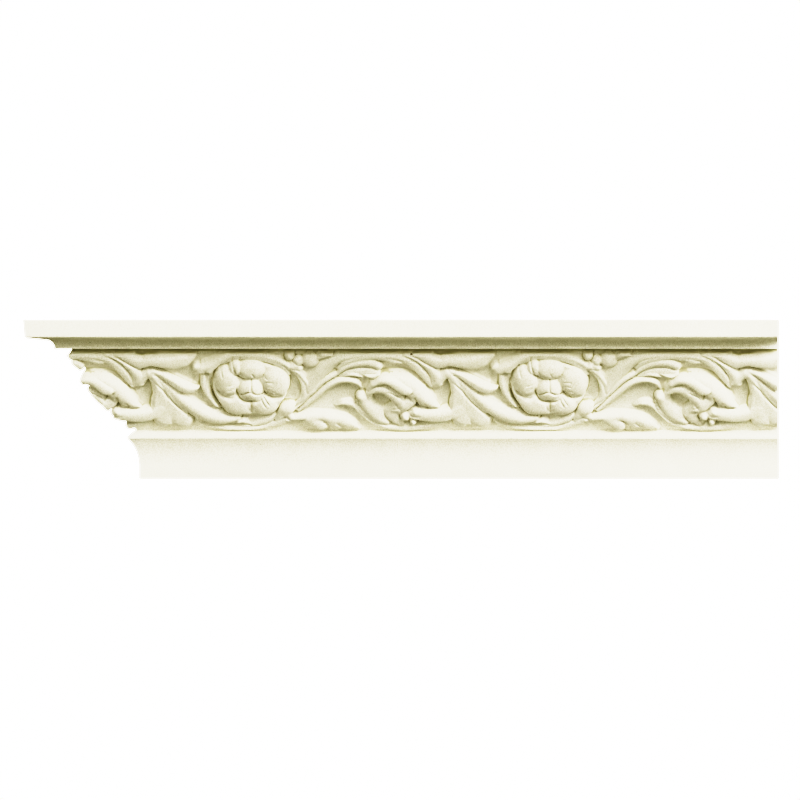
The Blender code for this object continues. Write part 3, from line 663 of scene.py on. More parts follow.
           rise=(3.4, 4, 5, 5.8, 6, 6.3, 6.3, 6, 5.2, 4.2), upper=0.35, lower=0.6, wall=1.6,
           fade_in=0.28, blend=0.8),
    Strand("pod",
           ((121, 20), (131, 24), (142, 30.2), (151, 35.4), (158, 37.8), (164, 37.4), (168, 36)),
           half=(2.5, 3.5, 4.8, 5.8, 5.4, 2.8, 0.6), rise=(5.4, 5.8, 6.4, 6.8, 6.6, 5.4, 4),
           upper=0.3, lower=0.9, cut=1.4, fade_in=0.15),
    Strand("top leaf",
           ((72, 1.5), (86, 3.5), (98, 8.5), (108.5, 12.4), (118.5, 11), (130, 11.5), (142, 11.8),
            (153, 9.2), (161.5, 3)),
           half=(1, 2.6, 4.4, 5.6, 4.4, 5.8, 7, 6.6, 4),
           rise=(5, 5.2, 5.6, 6, 6.4, 6.9, 7, 6.6, 4.8), upper=0.8, lower=0.9, wall=0.5, cut=2.6),
    # Ring about the flower
    Strand("ring left",
           ((172, 25), (172.5, 34), (175, 41.5), (179.5, 48.5), (185, 54.5), (191, 58)),
           half=(2.4, 3.2, 3.2, 3, 2.6, 1), rise=(3, 4, 4, 4, 3.6), upper=0.5, lower=0.75),
    Strand("ring",
           ((165.5, 17.6), (170.5, 18.4), (178, 16), (187, 10.4), (197, 5.8), (208, 3.6),
            (222, 4), (236, 6.6), (249, 11), (260, 17.5), (267.5, 24), (272, 32), (273.5, 41),
            (271, 49), (264, 55)),
           half=(4.4, 6, 6, 4.4, 3.2, 2.6, 2.4, 2.4, 2.6, 3, 3.2, 3.4, 3.4, 3, 2),
           rise=(4.8, 5.4, 5.6, 5, 4.4, 4, 4, 4.2, 4.4, 4, 3.4, 3, 2.8, 2.6), upper=0.35,
           lower=0.8),
    Knob("ring lobe a", (168.5, 20.4), radius=5.4, rise=5, cut=1, blend=1.2),
    Knob("ring lobe b", (178.2, 20.6), radius=4.6, rise=5, cut=1, blend=1.2),
    Strand("low leaf",
           ((256, 69), (268, 67.2), (282, 66.6), (297, 67.2), (311, 69.8), (321, 74), (328, 77.6)),
           half=(2.5, 4, 4.8, 5.4, 5.4, 3.8, 1), rise=(4.6, 5, 5.5, 5.6, 5.3, 4.6, 3), upper=0.5,
           lower=0.8),
    Strand("low lobe a", ((272, 67.5), (281, 70.5), (289.5, 74.6)),
           half=(4, 5.6, 5.8), rise=(5, 5.8, 5.8), upper=0.7, lower=0.85, cut=0.8, blend=1.2),
    Strand("low lobe b", ((294, 66), (302, 71), (307.5, 74)),
           half=(4, 5.4, 4.2), rise=(5.4, 5.6, 5), upper=0.7, lower=0.85, cut=0.6, blend=1.2),
    Strand("low lobe c", ((308, 69), (315, 73.5), (320.5, 76)),
           half=(4, 4.6, 3), rise=(5.2, 5, 4), upper=0.7, lower=0.85, cut=0.6, blend=1.2),
    # The flower
    Strand("flower web",
           ((190, 12.5), (201, 7.6), (213, 5.6), (226, 6.4), (239, 9.6), (250, 15), (257, 23)),
           half=(1.5, 3, 3.4, 3.4, 3.4, 3, 1.5), rise=(3, 3.9, 4.2, 4.2, 4.1, 3.8, 3), upper=0.9,
           lower=0.9, wall=1.6, cut=0, blend=1.2),
    Strand("flower bed", ((215, 37.5), (222, 37.5)),
           half=(32, 32), rise=(5.2, 5.2), upper=0.95, lower=0.95, slope=3, wall=2.6, cut=1.5),
    Knob("petal lower left", (205.5, 54), radius=17.5, rise=7.2, tall=0.95, turn=14, puff=3,
         cut=1.0),
    Knob("petal lower right", (232.5, 54), radius=16.5, rise=7.2, turn=-22, puff=3, cut=0.6),
    Knob("petal fold", (204.5, 18.6), radius=8.4, rise=7.2, tall=1.3, puff=3, cut=0.5),
    Knob("petal left", (196.4, 32.2), radius=13.8, rise=7.9, tall=1.5, turn=-8, puff=3, cut=1.4),
    Knob("petal right", (243.5, 32.5), radius=15, rise=7.9, tall=1.4, turn=-12, puff=3, cut=2.2),
    Knob("petal top", (219.5, 20), radius=16.5, rise=8.2, tall=0.82, puff=3, cut=1.4),
    Knob("boss", (219.5, 40.0), radius=14.6, rise=8.8, tall=1.1, puff=2.6, cut=2.6),
    Crease("flower side",
           ((182, 27), (180.6, 34), (181.6, 42), (185, 49.5), (189, 56), (194, 61.5), (201, 65)),
           half=1.9, depth=2.6, lift=2.5),
    Crease("boss parting", ((219.7, 30), (219.7, 34), (219.7, 38.5), (219.7, 43)),
           depth=1.3, lift=7.5),
    Crease("boss lip left", ((220, 41), (215.5, 42.5), (211, 45.5), (208, 48)),
           half=1.0, depth=1.6, lift=7),
    Crease("boss lip right", ((219.5, 41), (224, 44), (229, 45.5), (234, 46)),
           half=1.0, depth=1.6, lift=7),
    Crease("fold line left", ((201, 7), (200.6, 13), (202, 19), (205.5, 26)), depth=1.0),
    Crease("fold line right", ((208.6, 8), (207.6, 13), (208.5, 19)), depth=0.7),
    Crease("left fold", ((188.5, 17), (189.2, 22), (191.5, 29)), depth=0.7, lift=6.5),
    Crease("left crimp a", ((196, 35.5), (199, 35), (203.5, 33)), half=0.7, depth=0.55),
    Crease("left crimp b", ((195, 40.5), (199, 39.5), (204, 37.5)), half=0.6),
    Crease("left crimp c", ((185.5, 41), (188.5, 43.5), (192, 43)), half=0.6, lift=5),
    Crease("right crimp a", ((233, 32.8), (237, 31.8), (242.5, 32))),
    Crease("right crimp b", ((234, 37), (238, 36.2), (242, 37)), half=0.7),
    Crease("right crimp c", ((235, 39), (240, 40.5), (245, 43)), half=0.7),
    Crease("right crimp d", ((231, 24), (233.5, 28), (237, 29.5))),
    Crease("right foot", ((234.5, 40.5), (238.5, 44.5), (244, 47), (252, 46.6)),
           half=1.1, depth=2.0, lift=5.5),
    Crease("low crimp a", ((232, 47), (235, 51.5), (238.5, 56)), half=0.7, depth=0.55),
    Crease("low crimp b", ((229, 48), (231.5, 53), (235, 58)), half=0.7, depth=0.55),
    Crease("low crimp c", ((236.5, 45.5), (241, 49.5), (244, 52)), half=0.7),
    Crease("low valley", ((220, 51), (220.3, 58), (220.5, 67)), half=1.2, depth=1.1, lift=5),
    Crease("top crimp a", ((208.5, 22.5), (210.5, 26), (213, 28)), depth=1.0, lift=7),
    Crease("top crimp b", ((220, 23), (221.5, 26), (223.5, 28.5)), depth=0.7, lift=7),
    # Bud and berries about the ring
    Strand("bud tail", ((258, 56.5), (252, 62.5), (246, 69)),
           half=(5.5, 5.5, 2.5), rise=(5.4, 5.2, 3.8), upper=0.5, cut=0.6, blend=0.8),
    Knob("bud", (255.4, 59.5), radius=9.4, rise=6.2, tall=0.9, turn=-50, puff=2.6, cut=0.3,
         blend=1.2),
    Strand("bud foot", ((256, 64), (262, 67), (270, 67)), half=(4, 3, 2), rise=(4.8, 4.6, 4.6)),
    Strand("ring node", ((257, 17), (262, 16), (269, 18)),
           half=(2.5, 3.8, 2.5), rise=(4.4, 5, 4.4), cut=0.3, blend=1.0),
    Knob("top berry a", (258, 6.6), radius=5.2, rise=4.8, tall=1.2, cut=1.6, blend=0.5),
    Knob("top berry b", (266.8, 11.8), radius=5.8, rise=4.6, tall=1.2, cut=0.6, blend=0.9),
    Knob("top berry c", (278.5, 11.5), radius=9, rise=4.4, tall=1.1, cut=0.5, blend=0.9),
    Strand("ring rib", ((264, 19.5), (270.5, 25.5), (275.2, 33), (277, 41)),
           half=(1.2, 1.8, 1.8, 1), rise=(3.2, 3.4, 3.2, 2), cut=0.4, blend=0.7),
    # Fine lines along the stems and leaves
    Crease("stem line a", ((-38, 58), (-27, 51.5), (-17, 43)), half=1.0, depth=0.8, lift=2.5),
    Crease("stem line b", ((-30, 61), (-19, 56), (-9, 48.5), (0, 41)),
           half=1.0, depth=0.6, lift=2.5),
    Crease("crease jaw", ((53.5, 59.5), (54.5, 65), (58.5, 71.5)), half=0.9, depth=0.9, lift=4),
    Crease("crease trunk", ((123, 25), (130, 34), (135, 45), (137, 56)),
           half=1.2, depth=0.35, lift=4),
    Crease("crease crescent", ((165, 57.5), (174, 59.5), (184, 59.5), (188, 58.5)), lift=4.5),
    Crease("crease tongue", ((91, 69), (95, 70.5), (98, 69)), depth=0.7, lift=3.8),
)


@dataclass(frozen=True)
class Frieze:
    """The carved band: every form of one repeat, laid one over the other.

    The carving closes over crack, right under the ledge. Blurs gives the reach and the weight of
    each blur that the hollows are judged by, and so how much shade is painted into them.
    """

    start: float = -91.5
    forms: tuple[Form, ...] = FORMS
    deepest: float = 1.2
    ledge_blend: float = 0.3
    crack: float = 0.45
    blurs: tuple[Span, ...] = ((0.8, 0.8), (2.0, 0.15))

    @property
    def ledge(self) -> Point:
        """The ledge's front edge, as distance down the band and height above it."""
        out, up = np.array(SECTION.ledge_front)
        down, rise = SECTION.to_band(out, up)
        return float(down), float(rise)

    def height(self, along: np.ndarray, down: np.ndarray) -> np.ndarray:
        """Height of the carving, with the ledge's underside as a slope above the band.

        Args:
            along: Places along the moulding, from its origin.
            down: Distances down the band, negative under the ledge.

        Returns:
            Heights above the band.
        """
        u, v = (along - self.start).ravel(), down.ravel()
        height = np.zeros(u.size)
        for form in self.forms:
            form.lay(u, v, height)
        height = np.maximum(height, -self.deepest).reshape(down.shape)
        height = height * smooth_step(down / self.crack)
        edge_down, edge_rise = self.ledge
        ledge = np.clip(down / edge_down, 0.0, None) * edge_rise
        return np.where(down < 0.0, soft_max(height, ledge, self.ledge_blend), height)

    def hollows(self, height: np.ndarray, step: float) -> np.ndarray:
        """How deep each place lies below its surroundings, from 0 to 1, which sets the shade
        painted there.

        It is the height blurred over a fine and a broad square, less the height itself, summed by
        weight.

        Args:
            height: Heights on an even grid.
            step: The grid's spacing.

        Returns:
            The depth of the hollow at each place.
        """
        deep = np.zeros_like(height)
        for reach, weight in self.blurs:
            blurred = self.blurred(height, max(1, round(reach / step)))
            deep += weight * np.clip(blurred - height, 0.0, None)
        return np.clip(deep, 0.0, 1.0)

    def blurred(self, height: np.ndarray, reach: int) -> np.ndarray:
        """The mean of the heights over a square, taken twice, by running sums.

        Args:
            height: Heights on an even grid.
            reach: Half the square's side, in steps of the grid.

        Returns:
            The blurred heights.
        """
        for _ in range(2):
            for axis in (0, 1):
                pad = [(reach + 1, reach) if a == axis else (0, 0) for a in (0, 1)]
                total = np.cumsum(np.pad(height, pad, mode="edge"), axis=axis)
                last = np.take(total, range(2 * reach + 1, total.shape[axis]), axis=axis)
                first = np.take(total, range(total.shape[axis] - 2 * reach - 1), axis=axis)
                height = (last - first) / (2 * reach + 1)
        return height


@dataclass
class Moulding:
    """The casting: the section carried along X with the frieze on its band, and two cut ends.

    It is drawn at a spacing of step, run_on past both ends, and thinned to about that many
    triangles. Points within snap of a cut's plane take part in the cut as they are, and those
    within settle are moved onto it afterwards. Points within merge of each other are joined, and
    edges sharper than crease_angle degrees look sharp. Hollows are marked for painted shade down
    to marked_depth below the band.
    """

    back_length: float = 417.4
    step: float = 0.42
    run_on: float = 8.0
    triangles: int = 205000
    snap: float = 0.02
    settle: float = 0.04
    merge: float = 0.004
    crease_angle: float = 50.0
    marked_depth: float = 1.0
    frieze: Frieze = field(default_factory=Frieze)

    @property
    def half(self) -> float:
        """Half the length of the wall face."""
        return 0.5 * self.back_length

    def rows(self) -> np.ndarray:
        """Distances down the band of the grid's rows, from the ledge's front to the band's foot."""
        edge = self.frieze.ledge[0]
        under = np.linspace(edge, 0.0, math.ceil(-edge / self.step) + 1)[:-1]
        band = np.linspace(0.0, SECTION.band_length, math.ceil(SECTION.band_length / self.step) + 1)
        return np.concatenate([under, band])

    def surface(self) -> tuple[np.ndarray, np.ndarray]:
        """The moulding as a grid of points, and how hollow the frieze is at its own rows.

        Returns:
            Points by row round the section and column along X, and hollows by row and column.
        """
        left = -self.half - SECTION.projection - self.run_on
        along = np.arange(left, self.half + self.run_on, self.step)
        down, along_band = np.meshgrid(self.rows(), along, indexing="ij")
        height = self.frieze.height(along_band, down)
        out, up = SECTION.from_band(down, height)
        up = SECTION.undercut(out, up)
        outline = (SECTION.above(), SECTION.below())
        above, below = (np.repeat(part[:, :, None], along.size, axis=2) for part in outline)
        out = np.vstack([above[:, 0], out, below[:, 0]])
        up = np.vstack([above[:, 1], up, below[:, 1]]) - 0.5 * SECTION.wall_bearing
        points = np.stack([np.broadcast_to(along, out.shape), -out, up], axis=-1)
        return points, self.frieze.hollows(height, self.step)

    def strip(self, points: np.ndarray) -> bpy.types.Mesh:
        """Makes a closed mesh of the grid: rows close on themselves and each end is one face.

        Args:
            points: Points by row and column, in millimetres.

        Returns:
            The mesh, in metres.
        """
        rows, columns = points.shape[:2]
        index = np.arange(rows * columns).reshape(rows, columns)
        below = np.roll(index, -1, axis=0)
        quads = np.stack([index[:, :-1], below[:, :-1], below[:, 1:], index[:, 1:]], axis=-1)
        corners = np.concatenate([quads.ravel(), index[::-1, 0], index[:, -1]])
        starts = np.concatenate([4 * np.arange(quads.size // 4), quads.size + rows * np.arange(2)])
        mesh = bpy.data.meshes.new("moulding strip")
        mesh.vertices.add(index.size)
        mesh.vertices.foreach_set("co", (points * MM).astype(np.float32).ravel())
        mesh.loops.add(corners.size)
        mesh.loops.foreach_set("vertex_index", corners.astype(np.int32))
        mesh.polygons.add(starts.size)
        mesh.polygons.foreach_set("loop_start", starts.astype(np.int32))
        mesh.update(calc_edges=True)
        return mesh

    def thinned(self, mesh: bpy.types.Mesh) -> bpy.types.Mesh:
        """A copy of a mesh whose flatter stretches have fewer triangles, by Blender's Decimate.

        Args:
            mesh: The whole mesh, which is removed.

        Returns:
            The thinned mesh.
        """
        whole = bpy.data.objects.new("whole strip", mesh)
        bpy.context.scene.collection.objects.link(whole)
        modifier = whole.modifiers.new("Thin", "DECIMATE")
        modifier.ratio = self.triangles / (2 * len(mesh.polygons))
        graph = bpy.context.evaluated_depsgraph_get()
        result = bpy.data.meshes.new_from_object(whole.evaluated_get(graph))
        bpy.data.objects.remove(whole)
        bpy.data.meshes.remove(mesh)
        return result

    def cut(self, shape: bmesh.types.BMesh, end: End) -> None:
        """Cuts one end off flat through the wall face's corner and closes the cut.

        Args:
            shape: The moulding, longer than it will be.
            end: Which end, and so which plane.
        """
        corner = Vector((math.copysign(self.half, end.value[0]) * MM, 0.0, 0.0))
        cut = bmesh.ops.bisect_plane(
            shape, geom=shape.verts[:] + shape.edges[:] + shape.faces[:], dist=self.snap * MM,
            plane_co=corner, plane_no=Vector(end.value).normalized(), clear_outer=True)
        rim = [item for item in cut["geom_cut"] if isinstance(item, bmesh.types.BMEdge)]
        bmesh.ops.holes_fill(shape, edges=rim, sides=len(rim) + 1)

    def places(self, mesh: bpy.types.Mesh) -> np.ndarray:
        """The mesh's points by row, in millimetres."""
        place = np.zeros(3 * len(mesh.vertices), np.float32)
        mesh.vertices.foreach_get("co", place)
        return place.reshape(-1, 3).astype(float) / MM

    def from_cuts(self, mesh: bpy.types.Mesh) -> tuple[np.ndarray, np.ndarray, np.ndarray]:
        """How far each point of the mesh lies from either cut.

        Args:
            mesh: The finished mesh, in metres.

        Returns:
            The points, the cuts' outward directions by row, and the distances outside each cut by
            row, in millimetres.
        """
        place = self.places(mesh)
        normals = np.array([Vector(end.value).normalized() for end in End])
        corners = np.array([(math.copysign(self.half, end.value[0]), 0.0, 0.0) for end in End])
        away = normals @ place.T - (normals * corners).sum(axis=1)[:, None]
        return place, normals, away

    def settle_cuts(self, mesh: bpy.types.Mesh) -> None:
        """Moves the points that lie close to a cut exactly onto it.

        Args:
            mesh: The finished mesh, in metres.
        """
        place, normals, away = self.from_cuts(mesh)
        place -= np.where(np.abs(away) < self.settle, away, 0.0).T @ normals
        mesh.vertices.foreach_set("co", (place * MM).astype(np.float32).ravel())

    def in_cuts(self, mesh: bpy.types.Mesh) -> np.ndarray:
        """Which points of the mesh lie on each cut, as a row for each end."""
        return np.abs(self.from_cuts(mesh)[2]) < self.snap

    def sharpen_cuts(self, mesh: bpy.types.Mesh) -> None:
        """Makes the edges that lie in either cut sharp, so that the cut faces are shaded flat.

        Args:
            mesh: The finished mesh, in metres.
        """
        ends = np.zeros(2 * len(mesh.edges), np.int32)
        mesh.edges.foreach_get("vertices", ends)
        layer = mesh.attributes["sharp_edge"]
        sharp = np.zeros(len(mesh.edges), bool)
        layer.data.foreach_get("value", sharp)
        cut = self.in_cuts(mesh)[:, ends.reshape(-1, 2)].all(axis=2).any(axis=0)
        layer.data.foreach_set("value", sharp | cut)

    def mark_painted_shade(self, mesh: bpy.types.Mesh, points: np.ndarray, hollows: np.ndarray) -> None:
        """Gives every corner of the mesh's faces a painted shade value, from the frieze's hollow
        beneath it.

        A corner's place along and down the band picks its cell of the grid, and the four values
        round it are mixed by how near they are. Off the band and on the cut ends the value is 0.

        Args:
            mesh: The finished mesh, in metres.
            points: The grid that it was made from, in millimetres.
            hollows: The grid's hollow values, by band row and column, which set the painted shade.
        """
        x, y, z = self.places(mesh).T
        out, up = -y, z + 0.5 * SECTION.wall_bearing
        down, rise = SECTION.to_band(out, up)
        rows = self.rows()
        row = np.interp(down, rows, np.arange(rows.size))
        short = 0.001  # keeps the right neighbour of the last column inside the array
        column = np.clip((x - points[0, 0, 0]) / self.step, 0.0, hollows.shape[1] - 1.0 - short)
        r, c = np.minimum(row.astype(int), rows.size - 2), column.astype(int)
        fr, fc = row - r, column - c
        low = hollows[r, c] * (1.0 - fc) + hollows[r, c + 1] * fc
        high = hollows[r + 1, c] * (1.0 - fc) + hollows[r + 1, c + 1] * fc
        on_band = (down >= rows[0]) & (down <= rows[-1]) & (rise > -self.marked_depth)
        value = np.where(on_band, low * (1.0 - fr) + high * fr, 0.0)
        # The groove behind the ledge's lip gets painted shade as well.
        value = np.maximum(value, SECTION.in_groove(out, up))
        corners = np.zeros(len(mesh.loops), np.int32)
        mesh.loops.foreach_get("vertex_index", corners)
        cut = self.in_cuts(mesh)[:, corners.reshape(-1, 3)].all(axis=2).any(axis=0)
        value = np.where(np.repeat(cut, 3), 0.0, value[corners])
        # The painted shade attribute: shade painted into the frieze's hollows and the ledge's
        # groove.
        layer = mesh.attributes.new("painted_shade", "FLOAT", "CORNER")
        layer.data.foreach_set("value", value.astype(np.float32))

    def build(self) -> bpy.types.Object:
        """Makes the finished moulding.

        Returns:
            The object, at the origin, with its place in its mesh.
        """
        points, hollows = self.surface()
        mesh = self.thinned(self.strip(points))
        shape = bmesh.new()
        shape.from_mesh(mesh)
        for end in End:
            self.cut(shape, end)
        bmesh.ops.remove_doubles(shape, verts=shape.verts[:], dist=self.merge * MM)
        bmesh.ops.triangulate(shape, faces=shape.faces[:])
        bmesh.ops.recalc_face_normals(shape, faces=shape.faces[:])
        shape.to_mesh(mesh)
        shape.free()
        self.settle_cuts(mesh)
        self.mark_painted_shade(mesh, points, hollows)
        mesh.shade_smooth()
        mesh.set_sharp_from_angle(angle=math.radians(self.crease_angle))
        self.sharpen_cuts(mesh)
        moulding = bpy.data.objects.new("carved_moulding", mesh)
        bpy.context.scene.collection.objects.link(moulding)
        return moulding

    def dress(self, moulding: bpy.types.Object, finish: "CastFinish", studio: "Studio") -> None:
        """Gives the moulding its finish and puts it in the place of its solid.

        Args:
            moulding: The finished piece.
            finish: What it is cast in.
            studio: The view in which its pits were seen.
        """
        moulding.data.materials.clear()
        pits = [(pit, pit.find(moulding, studio)) for pit in PITS]
        moulding.data.materials.append(finish.material(pits))
        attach(moulding, "root")
        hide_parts(NODE)


class Socket:
    """An output socket that can be used in sums, each operator adding a Math node."""

    def __init__(self, nodes: "Nodes", output: bpy.types.NodeSocket) -> None:
        """Keeps the socket and the tree that it belongs to."""
        self.nodes = nodes
        self.output = output

    def math(self, operation: str, *others: "Socket | float") -> "Socket":
        """The result of a Math node on this socket and others."""
        return self.nodes.add("ShaderNodeMath", {"operation": operation}, self, *others)

    def __add__(self, other: "Socket | float") -> "Socket":
        """This value plus another."""
        return self.math("ADD", other)

    def __sub__(self, other: "Socket | float") -> "Socket":
        """This value less another."""
        return self.math("SUBTRACT", other)

    def __rsub__(self, other: float) -> "Socket":
        """A number less this value."""
        return self.nodes.add("ShaderNodeMath", {"operation": "SUBTRACT"}, other, self)

    def __mul__(self, other: "Socket | float") -> "Socket":
        """This value times another."""
        return self.math("MULTIPLY", other)

    __radd__, __rmul__ = __add__, __mul__

    def ramp(self, low: float, high: float) -> "Socket":
        """0 at low and 1 at high, eased and held beyond them."""
        settings = {"interpolation_type": "SMOOTHSTEP"}
        return self.nodes.add("ShaderNodeMapRange", settings, self, low, high)


class Nodes:
    """A node tree that is filled by plain calls."""

    def __init__(self, tree: bpy.types.NodeTree) -> None:
        """Keeps the tree."""
        self.tree = tree

    def set(self, node: bpy.types.Node, key: int | str, value: object) -> None:
        """Sets a socket of a node to a value, or links a Socket to it.

        Args:
            node: The node.
            key: The socket's number or name.
            value: A plain value or a Socket.
        """
        if isinstance(value, Socket):
            self.tree.links.new(value.output, node.inputs[key])
        else:
            node.inputs[key].default_value = value

    def add(self, kind: str, settings: dict[str, object], *values: object,
            out: int | str = 0, **named: object) -> Socket:
        """Adds a node.

        Args:
            kind: Blender's name of the node's type.
            settings: Its own settings, such as a Math node's operation.
            *values: Values or Sockets for its first sockets, in order; None leaves one alone.
            out: Which output is wanted.
            **named: Values or Sockets for sockets by name, with _ for a space.

        Returns:
            The wanted output.
        """
        node = self.tree.nodes.new(kind)
        for name, setting in settings.items():
            setattr(node, name, setting)
        for key, value in enumerate(values):
            if value is not None:
                self.set(node, key, value)
        for key, value in named.items():
            self.set(node, key.replace("_", " "), value)
        return Socket(self, node.outputs[out])

    def mix(self, factor: Socket, a: object, b: object) -> Socket:
        """Colour a turning into colour b as factor goes from 0 to 1.

        Args:
            factor: The share of b.
            a: One colour, plain or as a Socket.
            b: The other.

        Returns:
            The mixed colour.
        """
        node = self.tree.nodes.new("ShaderNodeMix")
        node.data_type = "RGBA"
        inputs = {socket.identifier: i for i, socket in enumerate(node.inputs)}
        for key, value in (("Factor_Float", factor), ("A_Color", a), ("B_Color", b)):
            self.set(node, inputs[key], value)
        return Socket(self, next(s for s in node.outputs if s.identifier == "Result_Color"))


@dataclass(frozen=True)
class Pit:
    """A small open bubble in the front, painted dark as its shade: its pixel in the photograph,
    radius and the darkness of its painted shade.

    In_front is the place along Y, in metres, from which it is looked for.
    """

    across: float
    down: float
    radius: float
    dark: float
    in_front: float = -1.0

    def find(self, piece: bpy.types.Object, studio: "Studio") -> Vector:
        """The place on a piece that lies at the pit's pixel in the photograph's view.

        Args:
            piece: The finished piece.
            studio: The view.

        Returns:
            The first place that a level ray from in front meets.
        """
        lo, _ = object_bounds()
        scale = studio.millimetres_a_pixel * MM
        x = lo.x + (self.across - studio.left_edge) * scale
        z = lo.z + (studio.foot_line - self.down) * scale
        _, place, _, _ = piece.ray_cast(Vector((x, self.in_front, z)), Vector((0.0, 1.0, 0.0)))
        return place


PITS = (
    Pit(411.3, 354.2, 0.95, 1.0),
    Pit(547.0, 474.0, 0.55, 0.7),
    Pit(256.0, 444.0, 0.5, 0.6),
    Pit(260.5, 444.5, 0.5, 0.6),
    Pit(90.0, 342.5, 0.5, 0.6),
    Pit(103.0, 344.0, 0.5, 0.6),
)


@dataclass(frozen=True)
class CastFinish:
    """Matt cream cast resin, finely mottled, with a few open bubbles, and painted shade in its
    hollows.

    A fine grain and a broad cloud turn its pale colour into its face colour over the range mottle.
    The painted shade value turns that into the shade colour over shade_range, and then into the
    deep colour over deep_range: painted shade, olive and darker in the deepest hollows. An open
    bubble is painted dark as the shade inside it, fully dark out to the share pit_rim of its
    radius.
    """

    name: str = "cream cast"
    pale: Colour = (0.97, 0.96, 0.91, 1.0)
    face: Colour = (0.72, 0.71, 0.655, 1.0)
    # Painted shade: the colours laid into the hollows in place of the shade that falls there.
    shade: Colour = (0.84, 0.825, 0.765, 1.0)
    deep: Colour = (0.48, 0.465, 0.37, 1.0)
    roughness: float = 0.62
    specular: float = 0.3
    # Painted shade inside an open bubble.
    pit_shade: Colour = (0.08, 0.07, 0.04, 1.0)
    pit_rim: float = 0.45
    pit_depth: float = 2.0
    grain_scale: float = 1400.0
    grain_detail: float = 2.0
    cloud_scale: float = 60.0
    cloud_detail: float = 4.0
    cloud_share: float = 0.2
    cloud_height: float = 0.5
    mottle: Span = (0.38, 0.62)
    shade_range: Span = (0.08, 0.45)
    deep_range: Span = (0.3, 0.9)
    roughness_spread: float = 0.1
    bump: float = 0.5
    bump_height: float = 0.0005

    def material(self, pits: list[tuple[Pit, Vector]]) -> bpy.types.Material:
        """Makes the material.

        Args:
            pits: The open bubbles, and their places on the piece.

        Returns:
            The material, worked out from Object coordinates and the piece's painted shade
            attribute.
        """
        material = bpy.data.materials.new(self.name)
        material.use_nodes = True
        nodes = Nodes(material.node_tree)
        shader = material.node_tree.nodes["Principled BSDF"]
        place = nodes.add("ShaderNodeTexCoord", {}, out="Object")
        # Painted shade: how much shade is painted into the hollows.
        painted_shade = nodes.add("ShaderNodeAttribute", {"attribute_name": "painted_shade"}, out="Fac")
        grain = nodes.add("ShaderNodeTexNoise", {}, Vector=place, Scale=self.grain_scale,
                          Detail=self.grain_detail)
        cloud = nodes.add("ShaderNodeTexNoise", {}, Vector=place, Scale=self.cloud_scale,
                          Detail=self.cloud_detail)
        mottle = cloud * self.cloud_share + grain * (1.0 - self.cloud_share)
        colour = nodes.mix(mottle.ramp(*self.mottle), self.pale, self.face)
        # Painted shade: the hollows turn to the shade colour, then to the deep colour.
        colour = nodes.mix(painted_shade.ramp(*self.shade_range), colour, self.shade)
        colour = nodes.mix(painted_shade.ramp(*self.deep_range), colour, self.deep)
        height = grain + cloud * self.cloud_height
        # Painted shade: each open bubble is painted dark, and the bump dimples it.
        for pit, centre in pits:
            away = nodes.add("ShaderNodeVectorMath", {"operation": "DISTANCE"}, place, centre,
                             out="Value")
            inside = (1.0 - away.ramp(self.pit_rim * pit.radius * MM, pit.radius * MM)) * pit.dark
            colour = nodes.mix(inside, colour, self.pit_shade)
            height = height - inside * self.pit_depth
        nodes.set(shader, "Base Color", colour)
        nodes.set(shader, "Roughness", self.roughness + (grain - 0.5) * self.roughness_spread)
        bump = nodes.add("ShaderNodeBump", {}, Height=height, Strength=self.bump,
                         Distance=self.bump_height)
        nodes.set(shader, "Normal", bump)
        shader.inputs["Specular IOR Level"].default_value = self.specular
        return material


@dataclass(frozen=True)
class Lamp:
    """A square studio lamp, by its direction and distance from the moulding.

    Azimuth is in degrees from straight in front towards the right, elevation in degrees up. Power
    is in watts.
    """

    name: str
    azimuth: float
    elevation: float
    distance: float
    size: float
    power: float

    def light(self, target: Vector) -> None:
        """Makes the lamp, turned towards a target and unseen by the camera.

        Args:
            target: The place that it looks at.
        """
        data = bpy.data.lights.new(self.name, "AREA")
        data.energy, data.size = self.power, self.size
        lamp = bpy.data.objects.new(self.name, data)
        a, e = math.radians(self.azimuth), math.radians(self.elevation)
        away = Vector((math.sin(a) * math.cos(e), -math.cos(a) * math.cos(e), math.sin(e)))
        lamp.location = target + self.distance * away
        lamp.rotation_euler = away.to_track_quat("Z", "Y").to_euler()
        lamp.visible_camera = False
        bpy.context.scene.collection.objects.link(lamp)


@dataclass(frozen=True)
class Tone:
    """How one colour of the print answers light.

    Its distance from white falls off as exp(-(light / middle) to the power steep). A small part of
    it, the veil, lasts into strong light and falls off as exp(-(light / strong) to the power
    lasting).
    """

    white: float
    middle: float
    steep: float
    veil: float
    strong: float
    lasting: float = 4.0

    def shown(self, light: float) -> float:
        """The brightness shown for an amount of light.

        Args:
            light: The amount of light.

        Returns:
            The brightness, up to the colour's own white.
        """
        dark = (1.0 - self.veil) * math.exp(-((light / self.middle) ** self.steep))
        veil = self.veil * math.exp(-((light / self.strong) ** self.lasting))
        return self.white * (1.0 - dark - veil)


@dataclass(frozen=True)
class Print:
    """The photograph's tones: steep, with bright whites, and olive where it is dark.

    The curves are set at amounts of light whose spacing starts at step and widens. They stay at
    the colour's own white up to flat_end and end at full white in open_light, the backdrop's.
    """

    red: Tone = Tone(0.945, 0.268, 1.5, 0.038, 1.30)
    green: Tone = Tone(0.937, 0.279, 1.53, 0.04, 1.27)
    blue: Tone = Tone(0.90, 0.334, 1.95, 0.072, 1.15)
    steps: int = 25
    step: float = 0.06
    widening: float = 0.02
    open_light: float = 4.0
    flat_end: float = 3.6

    def apply(self) -> None:
        """Sets the three colour curves of the view."""
        view = bpy.context.scene.view_settings
        view.view_transform = "Standard"
        view.use_curve_mapping = True
        mapping = view.curve_mapping
        mapping.clip_max_x = self.open_light
        for curve, tone in zip(mapping.curves, (self.red, self.green, self.blue)):
            curve.points[-1].location = (self.open_light, 1.0)
            curve.points.new(self.flat_end, tone.white)
            for i in range(1, self.steps):
                light = self.step * i * (1.0 + self.widening * i)
                curve.points.new(light, tone.shown(light))
        mapping.update()


